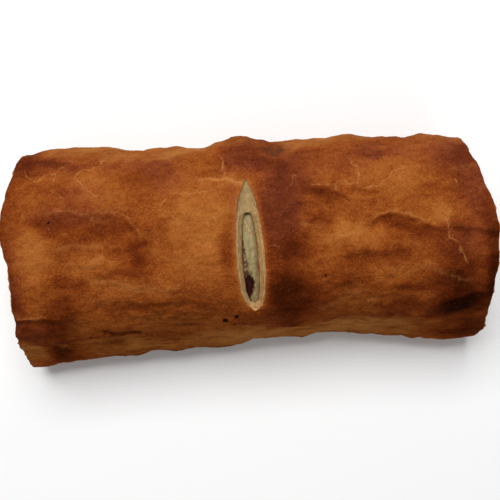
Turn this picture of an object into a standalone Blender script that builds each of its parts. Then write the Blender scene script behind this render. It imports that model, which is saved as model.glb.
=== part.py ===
"""Sausage roll: a log of baked puff pastry round a core of sausage meat, open at both ends.

The roll lies along X on its flat base. One cut across its crown opened in the oven and shows the
meat. On the near side (-Y) the lower edge of the pastry stands out as a lip under a crease, where
the sheet was folded over. Lengths are in metres.
"""

import math

import bmesh
import bpy
from mathutils import Vector

MM = 0.001

# The log of pastry
CROWN_HEIGHT = 41.2 * MM      # without the folds of the crust
HALF_LENGTH = 75.0 * MM       # nominal: the cut faces of the ends are uneven
WAIST_HEIGHT = 16.0 * MM      # where the sides stand out furthest
BASE_SINK = 1.6 * MM          # how far the rounded underside is pressed flat
CROWN_FULLNESS = 2.35         # exponent of the upper curve: 2 is an ellipse, more is boxier
BASE_FULLNESS = 4.2           # exponent of the lower curve

# How far the far side (+Y), the lip on the near side (-Y) and the wall above the lip reach:
# (place along X, reach) in mm
FAR_REACH = [(-74, 33.6), (-60, 34.8), (-36, 33.3), (-14, 33.0), (-1, 36.0), (9, 34.0),
             (34, 34.6), (52, 32.6), (64, 33.4), (74, 31.4)]
LIP_REACH = [(-77, 39.0), (-60, 37.9), (-38, 37.2), (-12, 35.6), (0, 34.1), (22, 32.6),
             (40, 34.0), (62, 37.0), (77, 36.8)]
WALL_REACH = [(-77, 30.4), (-60, 29.8), (-40, 28.0), (-12, 27.8), (0, 27.4), (22, 26.5),
              (45, 27.2), (62, 28.6), (77, 29.2)]

# How far the cut faces of the two ends reach: (place along Y, reach along X) in mm
LEFT_REACH = [(-40, 77.6), (-36, 78.4), (-31, 77.0), (-26, 74.8), (-20, 73.4), (-8, 73.2),
              (2, 74.4), (9, 75.4), (16, 74.2), (26, 72.4), (34, 72.2)]
RIGHT_REACH = [(-38, 76.8), (-33, 77.0), (-28, 75.4), (-24, 74.0), (-10, 75.0), (0, 75.6),
               (8, 74.8), (16, 72.4), (26, 70.4), (33, 71.2)]

# The lip on the near side and the crease above it
LIP_TOP = 28.0 * MM           # height where the lip starts from the wall above it
LIP_FOOT = 5.0 * MM           # height where it reaches furthest
CREASE_HEIGHT = 25.0 * MM
CREASE_DEPTH = 0.7 * MM
CREASE_WIDTH = 1.8 * MM

# Folds of the crust: (x, y) of both ends, width and height in mm. A negative one is a hollow.
FOLDS = [((32, 7), (54, 5), 4.0, 0.8),
         ((56, 4), (72, 3), 4.0, 0.7),
         ((34, -2), (66, -4), 5.0, -1.0),
         ((-64, 14), (-38, 13), 4.5, 0.8),
         ((-60, 7), (-34, 6), 4.5, -1.0),
         ((-34, 10), (-27, 1), 3.5, 0.6),
         ((-56, 0), (-40, -3), 5.0, 0.5),
         ((27, 12), (44, 12), 4.0, -0.7),
         ((-14, 24), (-4, 30), 5.0, 0.9)]

# The core of sausage meat, and the tunnel that it fills
MEAT_HALF_LENGTH = 70.0 * MM  # to the rims of its domed ends, inside the pastry's cut faces
MEAT_DOME = 2.8 * MM          # how far the middle of an end stands out from its rim
MEAT_HALF_WIDTH = 24.0 * MM
MEAT_HALF_HEIGHT = 14.5 * MM
MEAT_MIDDLE = 21.0 * MM       # height of its middle
MEAT_FULLNESS = 2.3
SHOULDER_SIZE = 0.72          # a ring on the dome, as a share of the rim's size
SHOULDER_RISE = 0.65          # and its share of the dome's height
CLEARANCE = 0.3 * MM          # gap between the meat and the pastry
TUNNEL_OVERRUN = 6.0 * MM     # how far the tunnel's cutter runs past the nominal ends

# The cut across the crown, which runs along Y
CUT_FAR_END = 19.4 * MM
CUT_NEAR_END = -20.6 * MM
CUT_HALF_WIDTH = 4.3 * MM
CUT_WIDEST = 0.6              # place of the widest point, from the far end 0 to the near end 1
CUT_ROUNDNESS = 0.8           # below 1 the cut's sides bow out more
CUT_SLOPE = 0.32              # how much half the cut narrows for each unit of depth
CUT_SHALLOW = 9.5 * MM        # from this Y to the far end the cut runs out before it meets the meat
CUT_BOTTOM = 29.0 * MM        # height of its bottom, below the roof of the tunnel
CUT_SCORE = 1.0 * MM          # its depth at the far end
CUT_SKEW = 1.0 * MM           # how far the near end lies to +X
CUT_RISE = 4.0 * MM           # how far its cutter stands above the crown
THINNEST = 0.2 * MM           # half the cutter's width where it comes to an edge

# Fineness of the faceted solids. Each turn is (from degrees, to degrees, steps) round the log.
STATIONS = 50
TURNS = [(-90, -20, 4), (-20, 155, 28), (155, 208, 11), (208, 270, 3)]
MEAT_STATIONS = 20
MEAT_STEPS = 26
CUT_STATIONS = 22
SHARP_ANGLE = math.radians(50)

PASTRY_COLOUR = (0.30, 0.09, 0.02, 1)
PASTRY_ROUGHNESS = 0.5
MEAT_COLOUR = (0.28, 0.22, 0.13, 1)
MEAT_ROUGHNESS = 0.6


def ease(amount):
    """Smooth step from 0 to 1."""
    amount = min(max(amount, 0.0), 1.0)
    return amount * amount * (3 - 2 * amount)


def reach_at(places, where):
    """Reach at one place, eased between the listed ones. The list is in mm."""
    here = where / MM
    if here <= places[0][0]:
        return places[0][1] * MM
    for (start, first), (end, last) in zip(places, places[1:]):
        if here <= end:
            return (first + (last - first) * ease((here - start) / (end - start))) * MM
    return places[-1][1] * MM


def even_steps(start, end, steps):
    """Evenly spaced values from start towards end, without the end itself."""
    return [start + (end - start) * step / steps for step in range(steps)]


def power(value, fullness):
    """Signed power of a cosine or a sine that draws a superellipse."""
    return math.copysign(abs(value) ** (2 / fullness), value)


def fold_height(x, y):
    """Height of the crust's folds over the plain log."""
    total = 0.0
    for start, end, width, height in FOLDS:
        start = Vector(start) * MM
        along = Vector(end) * MM - start
        here = Vector((x, y)) - start
        place = min(max(here.dot(along) / along.length_squared, 0.0), 1.0)
        distance = (here - along * place).length
        total += height * MM * math.exp(-(distance / (width * MM)) ** 2)
    return total


def crust_point(share, angle):
    """Point of the crust at a share of the length, from -1 to 1, and an angle round the log."""
    across = math.cos(angle)
    up = math.sin(angle)
    nominal = share * HALF_LENGTH
    if up >= 0:
        fullness = CROWN_FULLNESS
        z = WAIST_HEIGHT + (CROWN_HEIGHT - WAIST_HEIGHT) * power(up, fullness)
    else:
        fullness = BASE_FULLNESS
        z = max(WAIST_HEIGHT + (WAIST_HEIGHT + BASE_SINK) * power(up, fullness), 0.0)
    if across >= 0:
        side = reach_at(FAR_REACH, nominal)
    else:
        side = reach_at(WALL_REACH, nominal)
        side += (reach_at(LIP_REACH, nominal) - side) * ease((LIP_TOP - z) / (LIP_TOP - LIP_FOOT))
        side -= CREASE_DEPTH * math.exp(-((z - CREASE_HEIGHT) / CREASE_WIDTH) ** 2)
    y = side * power(across, fullness)
    x = share * reach_at(LEFT_REACH if share < 0 else RIGHT_REACH, y)
    if up > 0:
        lift = fold_height(x, y) * ease(2 * up)
        y += lift * across
        z += lift * up
    return Vector((x, y, z))


def crown_height(y):
    """Height of the plain crown over y, at the middle of the log."""
    side = reach_at(FAR_REACH, 0.0) if y >= 0 else reach_at(WALL_REACH, 0.0)
    across = min(abs(y) / side, 1.0) ** (CROWN_FULLNESS / 2)
    up = math.sqrt(1 - across * across)
    return WAIST_HEIGHT + (CROWN_HEIGHT - WAIST_HEIGHT) * power(up, CROWN_FULLNESS)


def core_ring(x, grow, size):
    """Ring round the meat at x, grown outwards by a distance and then scaled about its middle."""
    ring = []
    for angle in even_steps(0.0, 2 * math.pi, MEAT_STEPS):
        y = (MEAT_HALF_WIDTH + grow) * power(math.cos(angle), MEAT_FULLNESS)
        z = (MEAT_HALF_HEIGHT + grow) * power(math.sin(angle), MEAT_FULLNESS)
        ring.append(Vector((x, y * size, MEAT_MIDDLE + z * size)))
    return ring


def add_rings(shape, rings):
    """Skin a row of closed rings that all have the same number of points."""
    loops = [[shape.verts.new(point) for point in ring] for ring in rings]
    for first, second in zip(loops, loops[1:]):
        for index in range(len(first)):
            after = (index + 1) % len(first)
            shape.faces.new((first[index], first[after], second[after], second[index]))
    return loops


def cap_with_fan(shape, loop, middle):
    """Close a loop with triangles round a middle point."""
    hub = shape.verts.new(middle)
    for index, vert in enumerate(loop):
        shape.faces.new((vert, loop[(index + 1) % len(loop)], hub))


def make_log(shape):
    """The whole log, before its tunnel and its cut."""
    angles = []
    for start, end, steps in TURNS:
        angles += even_steps(math.radians(start), math.radians(end), steps)
    shares = even_steps(-1.0, 1.0, STATIONS) + [1.0]
    loops = add_rings(shape, [[crust_point(share, angle) for angle in angles] for share in shares])
    cap_with_fan(shape, loops[0], (-reach_at(LEFT_REACH, 0.0), 0, MEAT_MIDDLE))
    cap_with_fan(shape, loops[-1], (reach_at(RIGHT_REACH, 0.0), 0, MEAT_MIDDLE))


def make_meat(shape):
    """The core of meat, whose domed ends stop just inside the pastry's cut faces."""
    shoulder = MEAT_HALF_LENGTH + MEAT_DOME * SHOULDER_RISE
    tip = MEAT_HALF_LENGTH + MEAT_DOME
    shares = even_steps(-1.0, 1.0, MEAT_STATIONS) + [1.0]
    rings = [core_ring(share * MEAT_HALF_LENGTH, 0.0, 1.0) for share in shares]
    rings.insert(0, core_ring(-shoulder, 0.0, SHOULDER_SIZE))
    rings.append(core_ring(shoulder, 0.0, SHOULDER_SIZE))
    loops = add_rings(shape, rings)
    cap_with_fan(shape, loops[0], (-tip, 0, MEAT_MIDDLE))
    cap_with_fan(shape, loops[-1], (tip, 0, MEAT_MIDDLE))


def make_tunnel(shape):
    """What the log loses to the meat, with clearance, out past its ends."""
    end = HALF_LENGTH + TUNNEL_OVERRUN
    loops = add_rings(shape, [core_ring(x, CLEARANCE, 1.0) for x in (-end, end)])
    cap_with_fan(shape, loops[0], (-end, 0, MEAT_MIDDLE))
    cap_with_fan(shape, loops[-1], (end, 0, MEAT_MIDDLE))


def make_cut(shape):
    """What the log loses to the cut: a boat-shaped body with sloping sides."""
    top = CROWN_HEIGHT + CUT_RISE
    rings = []
    for share in even_steps(0.0, 1.0, CUT_STATIONS) + [1.0]:
        y = CUT_FAR_END + (CUT_NEAR_END - CUT_FAR_END) * share
        bow = math.sin(math.pi * share ** (math.log(0.5) / math.log(CUT_WIDEST)))
        half = max(CUT_HALF_WIDTH * max(bow, 0.0) ** CUT_ROUNDNESS, THINNEST)
        rim = crown_height(y)
        shallow = ease((y - CUT_SHALLOW) / (CUT_FAR_END - CUT_SHALLOW))
        bottom = CUT_BOTTOM + (rim - CUT_SCORE - CUT_BOTTOM) * shallow
        foot = max(half - CUT_SLOPE * (rim - bottom), THINNEST)
        head = half + CUT_SLOPE * (top - rim)
        middle = CUT_SKEW * share
        rings.append([Vector((middle - head, y, top)), Vector((middle + head, y, top)),
                      Vector((middle + foot, y, bottom)), Vector((middle - foot, y, bottom))])
    loops = add_rings(shape, rings)
    shape.faces.new(reversed(loops[0]))
    shape.faces.new(loops[-1])


def new_object(name, make_shape):
    """Object at the origin, with the mesh that make_shape fills."""
    mesh = bpy.data.meshes.new(name)
    shape = bmesh.new()
    make_shape(shape)
    bmesh.ops.recalc_face_normals(shape, faces=shape.faces)
    shape.to_mesh(mesh)
    shape.free()
    piece = bpy.data.objects.new(name, mesh)
    bpy.context.scene.collection.objects.link(piece)
    return piece


def finish(piece, colour, roughness):
    """Give a piece its material and smooth shading."""
    material = bpy.data.materials.new(piece.name)
    material.use_nodes = True
    shader = material.node_tree.nodes["Principled BSDF"]
    shader.inputs["Base Color"].default_value = colour
    shader.inputs["Roughness"].default_value = roughness
    piece.data.materials.append(material)
    piece.data.shade_smooth()
    piece.data.set_sharp_from_angle(angle=SHARP_ANGLE)


def cut_away(piece, name, make_shape):
    """Take the shape of make_shape out of a piece, with a hidden cutter."""
    cutter = new_object(name, make_shape)
    cutter.hide_render = True
    cutter.display_type = "WIRE"
    boolean = piece.modifiers.new(name, "BOOLEAN")
    boolean.operation = "DIFFERENCE"
    boolean.solver = "EXACT"
    boolean.object = cutter
    return cutter


def centre_over_origin(pieces):
    """Shift all the pieces together, so that the box of the first is centred over the origin."""
    places = [vert.co for vert in pieces[0].data.vertices]
    middle_x = (min(place.x for place in places) + max(place.x for place in places)) / 2
    middle_y = (min(place.y for place in places) + max(place.y for place in places)) / 2
    for piece in pieces:
        piece.location = (-middle_x, -middle_y, 0)


def main():
    for old in list(bpy.data.objects):
        bpy.data.objects.remove(old, do_unlink=True)
    pastry = new_object("pastry", make_log)
    finish(pastry, PASTRY_COLOUR, PASTRY_ROUGHNESS)
    tunnel = cut_away(pastry, "tunnel_cutter", make_tunnel)
    cut = cut_away(pastry, "cut_cutter", make_cut)
    filling = new_object("filling", make_meat)
    finish(filling, MEAT_COLOUR, MEAT_ROUGHNESS)
    centre_over_origin([pastry, tunnel, cut, filling])


main()
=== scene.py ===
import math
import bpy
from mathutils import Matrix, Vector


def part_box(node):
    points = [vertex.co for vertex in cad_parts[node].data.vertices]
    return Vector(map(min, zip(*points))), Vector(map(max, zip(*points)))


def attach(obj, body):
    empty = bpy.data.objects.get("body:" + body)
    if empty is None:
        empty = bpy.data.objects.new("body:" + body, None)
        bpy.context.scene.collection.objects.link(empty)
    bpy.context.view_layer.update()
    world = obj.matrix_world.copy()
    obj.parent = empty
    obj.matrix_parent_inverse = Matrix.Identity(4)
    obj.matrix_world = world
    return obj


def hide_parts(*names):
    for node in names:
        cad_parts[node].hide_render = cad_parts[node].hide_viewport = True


bl_info = {
    "name": "Sausage Roll",
    "version": (1, 0, 0),
    "blender": (4, 5, 0),
    "location": "View3D > Sidebar > Sausage Roll",
    "description": "Models a baked sausage roll: puff pastry round a core of meat, cut once across its crown",
    "category": "Add Mesh",
}

from types import SimpleNamespace

import bmesh
import bpy
import numpy as np
from mathutils import Vector, noise

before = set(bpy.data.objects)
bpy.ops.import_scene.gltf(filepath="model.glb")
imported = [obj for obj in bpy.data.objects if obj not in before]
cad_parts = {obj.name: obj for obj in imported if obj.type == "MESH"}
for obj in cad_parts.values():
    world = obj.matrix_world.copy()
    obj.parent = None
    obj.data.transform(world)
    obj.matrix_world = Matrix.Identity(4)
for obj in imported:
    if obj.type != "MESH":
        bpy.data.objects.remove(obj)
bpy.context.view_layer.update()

MM = 0.001
_, ROLL_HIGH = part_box("pastry")
MEAT_LOW, MEAT_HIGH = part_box("filling")

# ---------------------------------------------------------------------------
# The plain form of the roll, in millimetres. The roll lies along X. Places are
# measured from the middle of the cut, before the whole is centred on its base.
# ---------------------------------------------------------------------------
FOLD_ROOM = 1.0               # how far the folds stand above the plain crown
CROWN_HEIGHT = ROLL_HIGH.z / MM - FOLD_ROOM
HALF_LENGTH = 75.0            # nominal, because the cut faces of the ends are uneven
WAIST_HEIGHT = 16.0           # where the sides stand out furthest
BASE_SINK = 1.6               # how far the rounded underside is pressed flat
CROWN_FULLNESS = 2.35         # exponent of the upper curve: 2 is an ellipse, more is boxier
BASE_FULLNESS = 4.2           # exponent of the lower curve

# (place along X, how far the side reaches), for the far side, the lip on the near side and the
# wall above the lip
FAR_REACH = [(-74, 33.6), (-67, 34.4), (-60, 34.9), (-50, 34.8), (-36, 33.2), (-25, 33.7), (-14, 33.0),
             (-9, 34.6), (-1, 36.0), (5, 35.0), (9, 33.9), (26, 33.9), (35, 34.9), (45, 33.2),
             (56, 32.6), (63, 33.5), (74, 31.4)]
LIP_REACH = [(-77, 39.0), (-70, 39.0), (-60, 37.8), (-48, 36.8), (-40, 37.4), (-33, 36.4), (-26, 37.2),
             (-18, 36.0), (-8, 35.6), (0, 33.9), (16, 34.3), (22, 32.5), (29, 33.1), (40, 33.8),
             (47, 34.4), (54, 36.0), (66, 37.5), (77, 36.8)]
WALL_REACH = [(-77, 30.4), (-60, 29.8), (-50, 29.2), (-40, 27.8), (-12, 27.8), (0, 27.4), (22, 26.5),
              (45, 27.2), (62, 28.6), (77, 29.2)]

# (place along Y, how far the cut face reaches along X), for the two ends
LEFT_REACH = [(-40, 76.6), (-36, 77.4), (-31, 76.4), (-26, 74.8), (-20, 73.4), (-8, 73.0), (-3, 73.3),
              (0, 74.4), (7, 75.3), (12, 74.8), (18, 73.8), (26, 72.4), (34, 72.2)]
RIGHT_REACH = [(-38, 76.8), (-33, 77.0), (-28, 75.6), (-24, 74.5), (-15, 74.6), (-12, 75.1), (0, 75.6),
               (8, 74.8), (16, 72.4), (26, 70.4), (33, 71.2)]

LIP_TOP = 28.0                # height where the lip starts from the wall above it
LIP_FOOT = 5.0                # height where it reaches furthest

# The core of meat
MEAT_HALF_WIDTH = (MEAT_HIGH.y - MEAT_LOW.y) / 2 / MM
MEAT_MIDDLE = (MEAT_HIGH.z + MEAT_LOW.z) / 2 / MM
MEAT_HALF_HEIGHT = (MEAT_HIGH.z - MEAT_LOW.z) / 2 / MM
MEAT_FULLNESS = 2.3
TUNNEL_GAP = 0.35             # between the meat and the pastry
# From the middle of the core, where the places start, to the middle of the base
MIDDLE_SHIFT = np.array([(MEAT_LOW.x + MEAT_HIGH.x) / 2 / MM, (MEAT_LOW.y + MEAT_HIGH.y) / 2 / MM, 0.0])
ROOF_STRAIGHT = 20.0          # half the width over which the tunnel's roof follows the crust's rows

# The cut across the crown. (place along Y, its middle along X)
CUT_MIDDLE = [(-20.6, 1.0), (-14.0, 0.5), (-4.0, 0.25), (10.0, 0.0), (19.3, 0.0)]
# (place along Y, half its width), for its rim and for the hole at its bottom
CUT_RIM = [(-20.6, 0.0), (-20.0, 1.3), (-18.5, 2.6), (-17.0, 3.2), (-14.0, 3.9), (-8.0, 4.35),
           (-3.0, 4.4), (0.0, 4.3), (5.0, 3.9), (9.6, 3.4), (12.0, 3.0), (15.0, 2.35), (17.0, 1.4),
           (18.6, 0.8), (20.1, 0.0)]
CUT_HOLE = [(-18.7, 0.0), (-18.2, 1.0), (-17.0, 1.7), (-14.0, 2.35), (-8.0, 2.65), (-3.0, 2.65), (0.0, 2.5),
            (4.7, 2.05), (7.5, 1.6), (9.2, 1.0), (9.9, 0.0)]
CUT_SPREAD = 15.0             # how far along X the crust moved over when the cut opened
KNEE_DEPTH = 2.4              # depth of the sloping cut face, down to the edge of the hole
KNEE_PLACE = 0.6              # where that edge is on the way down the wall
HOLE_END = 1.6                # length over which the hole rises to the closed end of the cut
LEAN_RIGHT = 1.1              # how far the wall of the hole leans in on the +X side
LEAN_LEFT = 0.2               # and on the -X side

# Marks on the crust are placed on a plan of the roll in perspective, drawn from a point above it:
# a mark low on a side is a little nearer the middle than its true place.
PLAN_CENTRE = np.array([0.15, -2.1])
PLAN_DISTANCE = 209.0         # from the crown up to that point


# ---------------------------------------------------------------------------
# Sizes and colours that a user would change
# ---------------------------------------------------------------------------
def colour(name, description, srgb):
    """A colour property, from red, green and blue as 0 to 255 on a screen."""
    linear = [((part / 255 + 0.055) / 1.055) ** 2.4 if part > 10 else part / 255 / 12.92 for part in srgb]
    return bpy.props.FloatVectorProperty(name=name, description=description, subtype="COLOR", size=4,
                                         min=0.0, max=1.0, default=(*linear, 1.0))


class RollSizes(bpy.types.PropertyGroup):
    crust_around: bpy.props.IntProperty(
        name="Crust steps round", description="Faces round the crust", default=280, min=40)
    crust_along: bpy.props.IntProperty(
        name="Crust steps along", description="Faces along the crust, an even number", default=280, min=40)
    wrinkle_height: bpy.props.FloatProperty(
        name="Wrinkle height", description="Height of the crust's wrinkles", default=0.00048, unit="LENGTH")
    blister_height: bpy.props.FloatProperty(
        name="Blister height", description="Height of the small blisters", default=0.00024, unit="LENGTH")
    meat_around: bpy.props.IntProperty(
        name="Meat steps round", description="Faces round the core of meat", default=160, min=24)
    meat_along: bpy.props.IntProperty(
        name="Meat steps along", description="Faces along the core of meat", default=150, min=20)
    meat_lumps: bpy.props.FloatProperty(
        name="Meat lumps", description="Height of the coarse grain of the meat", default=0.0006,
        unit="LENGTH")


class RollColours(bpy.types.PropertyGroup):
    straw: colour("Straw", "Palest baked crust", (184, 120, 62))
    golden: colour("Golden", "Light baked crust", (162, 98, 44))
    amber: colour("Amber", "Well baked crust", (144, 78, 31))
    russet: colour("Russet", "Brown crust", (122, 58, 20))
    brown: colour("Brown", "Dark brown crust", (98, 41, 14))
    dark: colour("Dark", "Darkest crust", (66, 24, 6))
    scorched: colour("Scorched", "Burnt crust", (34, 11, 4))
    dull: colour("Dull", "Duller brown of the lip and the near side", (108, 64, 27))
    tan: colour("Tan", "Paler, drier skin at the edges", (168, 114, 60))
    mauve: colour("Mauve", "Skin that browned red", (134, 68, 44))
    mauve_deep: colour("Deep mauve", "Dark skin that browned red", (88, 38, 22))
    ashen: colour("Ashen", "Spot that is burnt to a greyish brown", (70, 40, 27))
    # Rosy paints the painted sheen along the crests of the wrinkles, and the grains of dust
    rosy: colour("Rosy", "Soft pale streaks on the crests of the wrinkles", (178, 114, 60))
    # Split also paints the pale chips and the painted highlight along the crests
    split: colour("Split", "Pale lines where the skin split", (190, 134, 80))
    crumb_light: colour("Light crumb", "Palest layers of cut pastry", (204, 176, 124))
    crumb_deep: colour("Deep crumb", "Darker layers of cut pastry", (158, 116, 68))
    # Crumb darkened by painted shade, used at the far tip of the cut
    crumb_in_shade: colour("Drab crumb", "Moister layers at the far tip of the cut", (134, 119, 86))
    meat: colour("Meat", "Cooked meat", (134, 122, 84))
    meat_fat: colour("Fat", "Pale flecks in the meat", (154, 138, 98))
    meat_fleck: colour("Flecks", "Orange flecks of fat", (190, 146, 92))
    meat_end: colour("Meat at the ends", "Browner meat of the two ends", (164, 116, 76))
    meat_brown: colour("Browned meat", "Brown flecks in the meat", (104, 70, 44))
    stain: colour("Stained meat", "Specks of meat that the juice stained", (74, 38, 30))
    juice: colour("Juice", "Dark cooked juice", (46, 12, 7))


# ---------------------------------------------------------------------------
# Curves and marks
# ---------------------------------------------------------------------------
def ease(amount):
    """Smooth step from 0 to 1."""
    amount = np.clip(amount, 0.0, 1.0)
    return amount * amount * (3 - 2 * amount)


def fade(amount, start, length):
    """Smooth step from 0 at the start to 1 after the length, which is negative toward lower amounts."""
    return ease((amount - start) / length)


def reach_at(places, where):
    """Value eased between listed places."""
    spots = np.array([place for place, _ in places], float)
    values = np.array([value for _, value in places], float)
    left = np.clip(np.searchsorted(spots, where) - 1, 0, len(spots) - 2)
    part = ease((where - spots[left]) / (spots[left + 1] - spots[left]))
    return values[left] + (values[left + 1] - values[left]) * part


def power(value, fullness):
    """Signed power of a cosine or a sine that draws a superellipse."""
    return np.copysign(np.abs(value) ** (2 / fullness), value)


def crust_places(share, angle):
    """Plain crust at shares of the length, from -1 to 1, and angles round the roll."""
    across = np.cos(angle)
    up = np.sin(angle)
    nominal = share * HALF_LENGTH
    upper = WAIST_HEIGHT + (CROWN_HEIGHT - WAIST_HEIGHT) * power(up, CROWN_FULLNESS)
    lower = np.maximum(WAIST_HEIGHT + (WAIST_HEIGHT + BASE_SINK) * power(up, BASE_FULLNESS), 0.0)
    z = np.where(up >= 0, upper, lower)
    lip = reach_at(WALL_REACH, nominal)
    lip += (reach_at(LIP_REACH, nominal) - lip) * ease((LIP_TOP - z) / (LIP_TOP - LIP_FOOT))
    side = np.where(across >= 0, reach_at(FAR_REACH, nominal), lip)
    y = side * np.where(up >= 0, power(across, CROWN_FULLNESS), power(across, BASE_FULLNESS))
    x = share * np.where(share < 0, reach_at(LEFT_REACH, y), reach_at(RIGHT_REACH, y))
    return np.stack([x, y, z], axis=1)


def tunnel_places(share, angle):
    """Wall of the tunnel that the meat fills. Beside the cut its roof lies straight below the crust."""
    half_width = MEAT_HALF_WIDTH + TUNNEL_GAP
    half_height = MEAT_HALF_HEIGHT + TUNNEL_GAP
    y = half_width * power(np.cos(angle), MEAT_FULLNESS)
    crust_y = crust_places(np.zeros(len(angle)), angle)[:, 1]
    widest = np.where(crust_y > 0, crust_y.max(), -crust_y.min())
    past = np.clip((np.abs(crust_y) - ROOF_STRAIGHT) / (widest - ROOF_STRAIGHT), 0.0, 1.0)
    roof_y = np.minimum(np.abs(crust_y), ROOF_STRAIGHT) + (half_width - ROOF_STRAIGHT) * past
    y = np.where(np.sin(angle) > 0, np.copysign(roof_y, crust_y), y)
    height = (1 - np.minimum(np.abs(y) / half_width, 1.0) ** MEAT_FULLNESS) ** (1 / MEAT_FULLNESS)
    z = MEAT_MIDDLE + half_height * np.copysign(height, np.sin(angle))
    x = share * np.where(share < 0, reach_at(LEFT_REACH, y), reach_at(RIGHT_REACH, y))
    return np.stack([x, y, z], axis=1)


def plan_places(places):
    """Places on the perspective plan on which the crust's marks are laid out."""
    crown = ROLL_HIGH.z / MM
    scale = PLAN_DISTANCE / (PLAN_DISTANCE + crown - places[:, 2])
    return PLAN_CENTRE + (places[:, :2] - PLAN_CENTRE) * scale[:, None]


def beside_line(spots, line):
    """Distance from each spot to a line of points, whether it is above the line, and how far along it."""
    nearest = np.full(len(spots), 1e9)
    above = np.zeros(len(spots), bool)
    progress = np.zeros(len(spots))
    lengths = [math.dist(start, end) for start, end in zip(line, line[1:])]
    done = 0.0
    for start, end, length in zip(line, line[1:], lengths):
        along = np.subtract(end, start) / length
        offset = spots - np.array(start, float)
        run = np.clip(offset @ along, 0.0, length)
        gap = offset - run[:, None] * along
        distance = np.hypot(gap[:, 0], gap[:, 1])
        closer = distance < nearest
        turn = along[0] * offset[:, 1] - along[1] * offset[:, 0]
        above = np.where(closer, turn * math.copysign(1.0, along[0]) > 0, above)
        progress = np.where(closer, (done + run) / sum(lengths), progress)
        nearest = np.minimum(nearest, distance)
        done += length
    return nearest, above, progress


def grain(places, size, seed=0.0, stretch=(1.0, 1.0, 1.0)):
    """Smooth noise from -1 to 1 at places in millimetres, with features of about that size."""
    scaled = places / (np.array(stretch) * size) + seed
    return np.array([noise.noise(spot) for spot in scaled.tolist()])


OCTAVE_DECAY = 0.9            # how fast the finer octaves of a fractal get weaker
OCTAVE_STEP = 2.1             # how much finer each octave is than the one before


def fractal(places, size, octaves, seed=0.0, stretch=(1.0, 1.0, 1.0)):
    """Noise with finer octaves on top."""
    scaled = places / (np.array(stretch) * size) + seed
    return np.array([noise.fractal(spot, OCTAVE_DECAY, OCTAVE_STEP, octaves) for spot in scaled.tolist()])


def wander(places, size, seeds, octaves=0):
    """A wandering offset for each place, with one part for each seed."""
    if octaves:
        parts = [fractal(places, size, octaves, seed) for seed in seeds]
    else:
        parts = [grain(places, size, seed) for seed in seeds]
    return np.stack(parts, axis=1)


def cells(places, size, seed=0.0, stretch=(1.0, 1.0, 1.0)):
    """How deep a place is inside its cell, from 0 at the edge, for cells of about that size."""
    scaled = places / (np.array(stretch) * size) + seed
    found = []
    for spot in scaled.tolist():
        distances, _ = noise.voronoi(spot)
        found.append(distances[1] - distances[0])
    return np.array(found)


# ---------------------------------------------------------------------------
# Modelling helpers
# ---------------------------------------------------------------------------
SKIN, END, WALL, TUNNEL = 0.0, 1.0, 2.0, 3.0     # zones of a piece
# What is kept on the points of a tube until it has its form: share of the length from -1 to 1, row of
# faces round it, depth in its zone from 0 to 1, zone, and side of the cut
TUBE_MARKS = ("share", "row", "depth", "zone", "side")
BOTTOM_TURN = -0.25           # rows of faces are counted from the bottom, a quarter turn before +Y
NEAR_END = 0.99               # an open tube reaches from -1 to 1 until it gets its form
LENGTH_PARTS = 10             # it is first divided into so many lengths, then each of them again
WELD = 2e-6                   # points closer than this, in metres, are joined
SHARP_DEGREES = 50.0          # edges that turn more than this stay sharp


def edit(piece):
    """Go into edit mode on one piece, with nothing selected."""
    bpy.context.view_layer.objects.active = piece
    bpy.ops.object.mode_set(mode="EDIT")
    bpy.ops.mesh.select_mode(type="EDGE")
    bpy.ops.mesh.select_all(action="DESELECT")


def leave_edit():
    """Go back to object mode."""
    bpy.ops.object.mode_set(mode="OBJECT")


def select_edges(piece, wanted):
    """Select just the edges that a test on an edge picks."""
    bpy.ops.mesh.select_all(action="DESELECT")
    shape = bmesh.from_edit_mesh(piece.data)
    for edge in shape.edges:
        if wanted(edge):
            edge.select_set(True)
    shape.select_flush_mode()
    bmesh.update_edit_mesh(piece.data)


def layer(shape, name):
    """Where a shape in edit mode keeps one of the marks of its points."""
    return shape.verts.layers.float[name]


def marker(zone):
    """What marks the points of a newly extruded zone with their depth in it."""
    def mark(shape, vert, part):
        vert[layer(shape, "depth")] = part
        vert[layer(shape, "zone")] = zone
    return mark


def extrude_rim(piece, steps, mark):
    """Extrude the selected edges in place, and mark the new points with how far along they are."""
    for step in range(1, steps + 1):
        bpy.ops.mesh.extrude_edges_move(TRANSFORM_OT_translate={"value": (0, 0, 0)})
        shape = bmesh.from_edit_mesh(piece.data)
        for vert in shape.verts:
            if vert.select:
                mark(shape, vert, step / steps)
        bmesh.update_edit_mesh(piece.data)


def extrude_end(piece, sign, steps, mark):
    """Extrude the open end of a tube that faces +X, or -X where the sign is negative."""
    select_edges(piece, lambda edge: edge.is_boundary and all(
        sign * vert.co.x > NEAR_END for vert in edge.verts))
    extrude_rim(piece, steps, mark)


def read_marks(piece, name):
    """One number for each point of a piece."""
    values = np.zeros(len(piece.data.vertices), np.float32)
    piece.data.attributes[name].data.foreach_get("value", values)
    return values.astype(float)


def write_marks(piece, name, values):
    """Keep one number for each point of a piece, for its material to read."""
    if name not in piece.data.attributes:
        piece.data.attributes.new(name, "FLOAT", "POINT")
    piece.data.attributes[name].data.foreach_set("value", np.asarray(values, np.float32))


def read_places(piece):
    """Place of each point of a piece."""
    places = np.zeros(len(piece.data.vertices) * 3, np.float32)
    piece.data.vertices.foreach_get("co", places)
    return places.reshape(-1, 3).astype(float)


def write_places(piece, places):
    """Move each point of a piece to its place."""
    piece.data.vertices.foreach_set("co", np.asarray(places, np.float32).ravel())
    piece.data.update()


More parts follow.
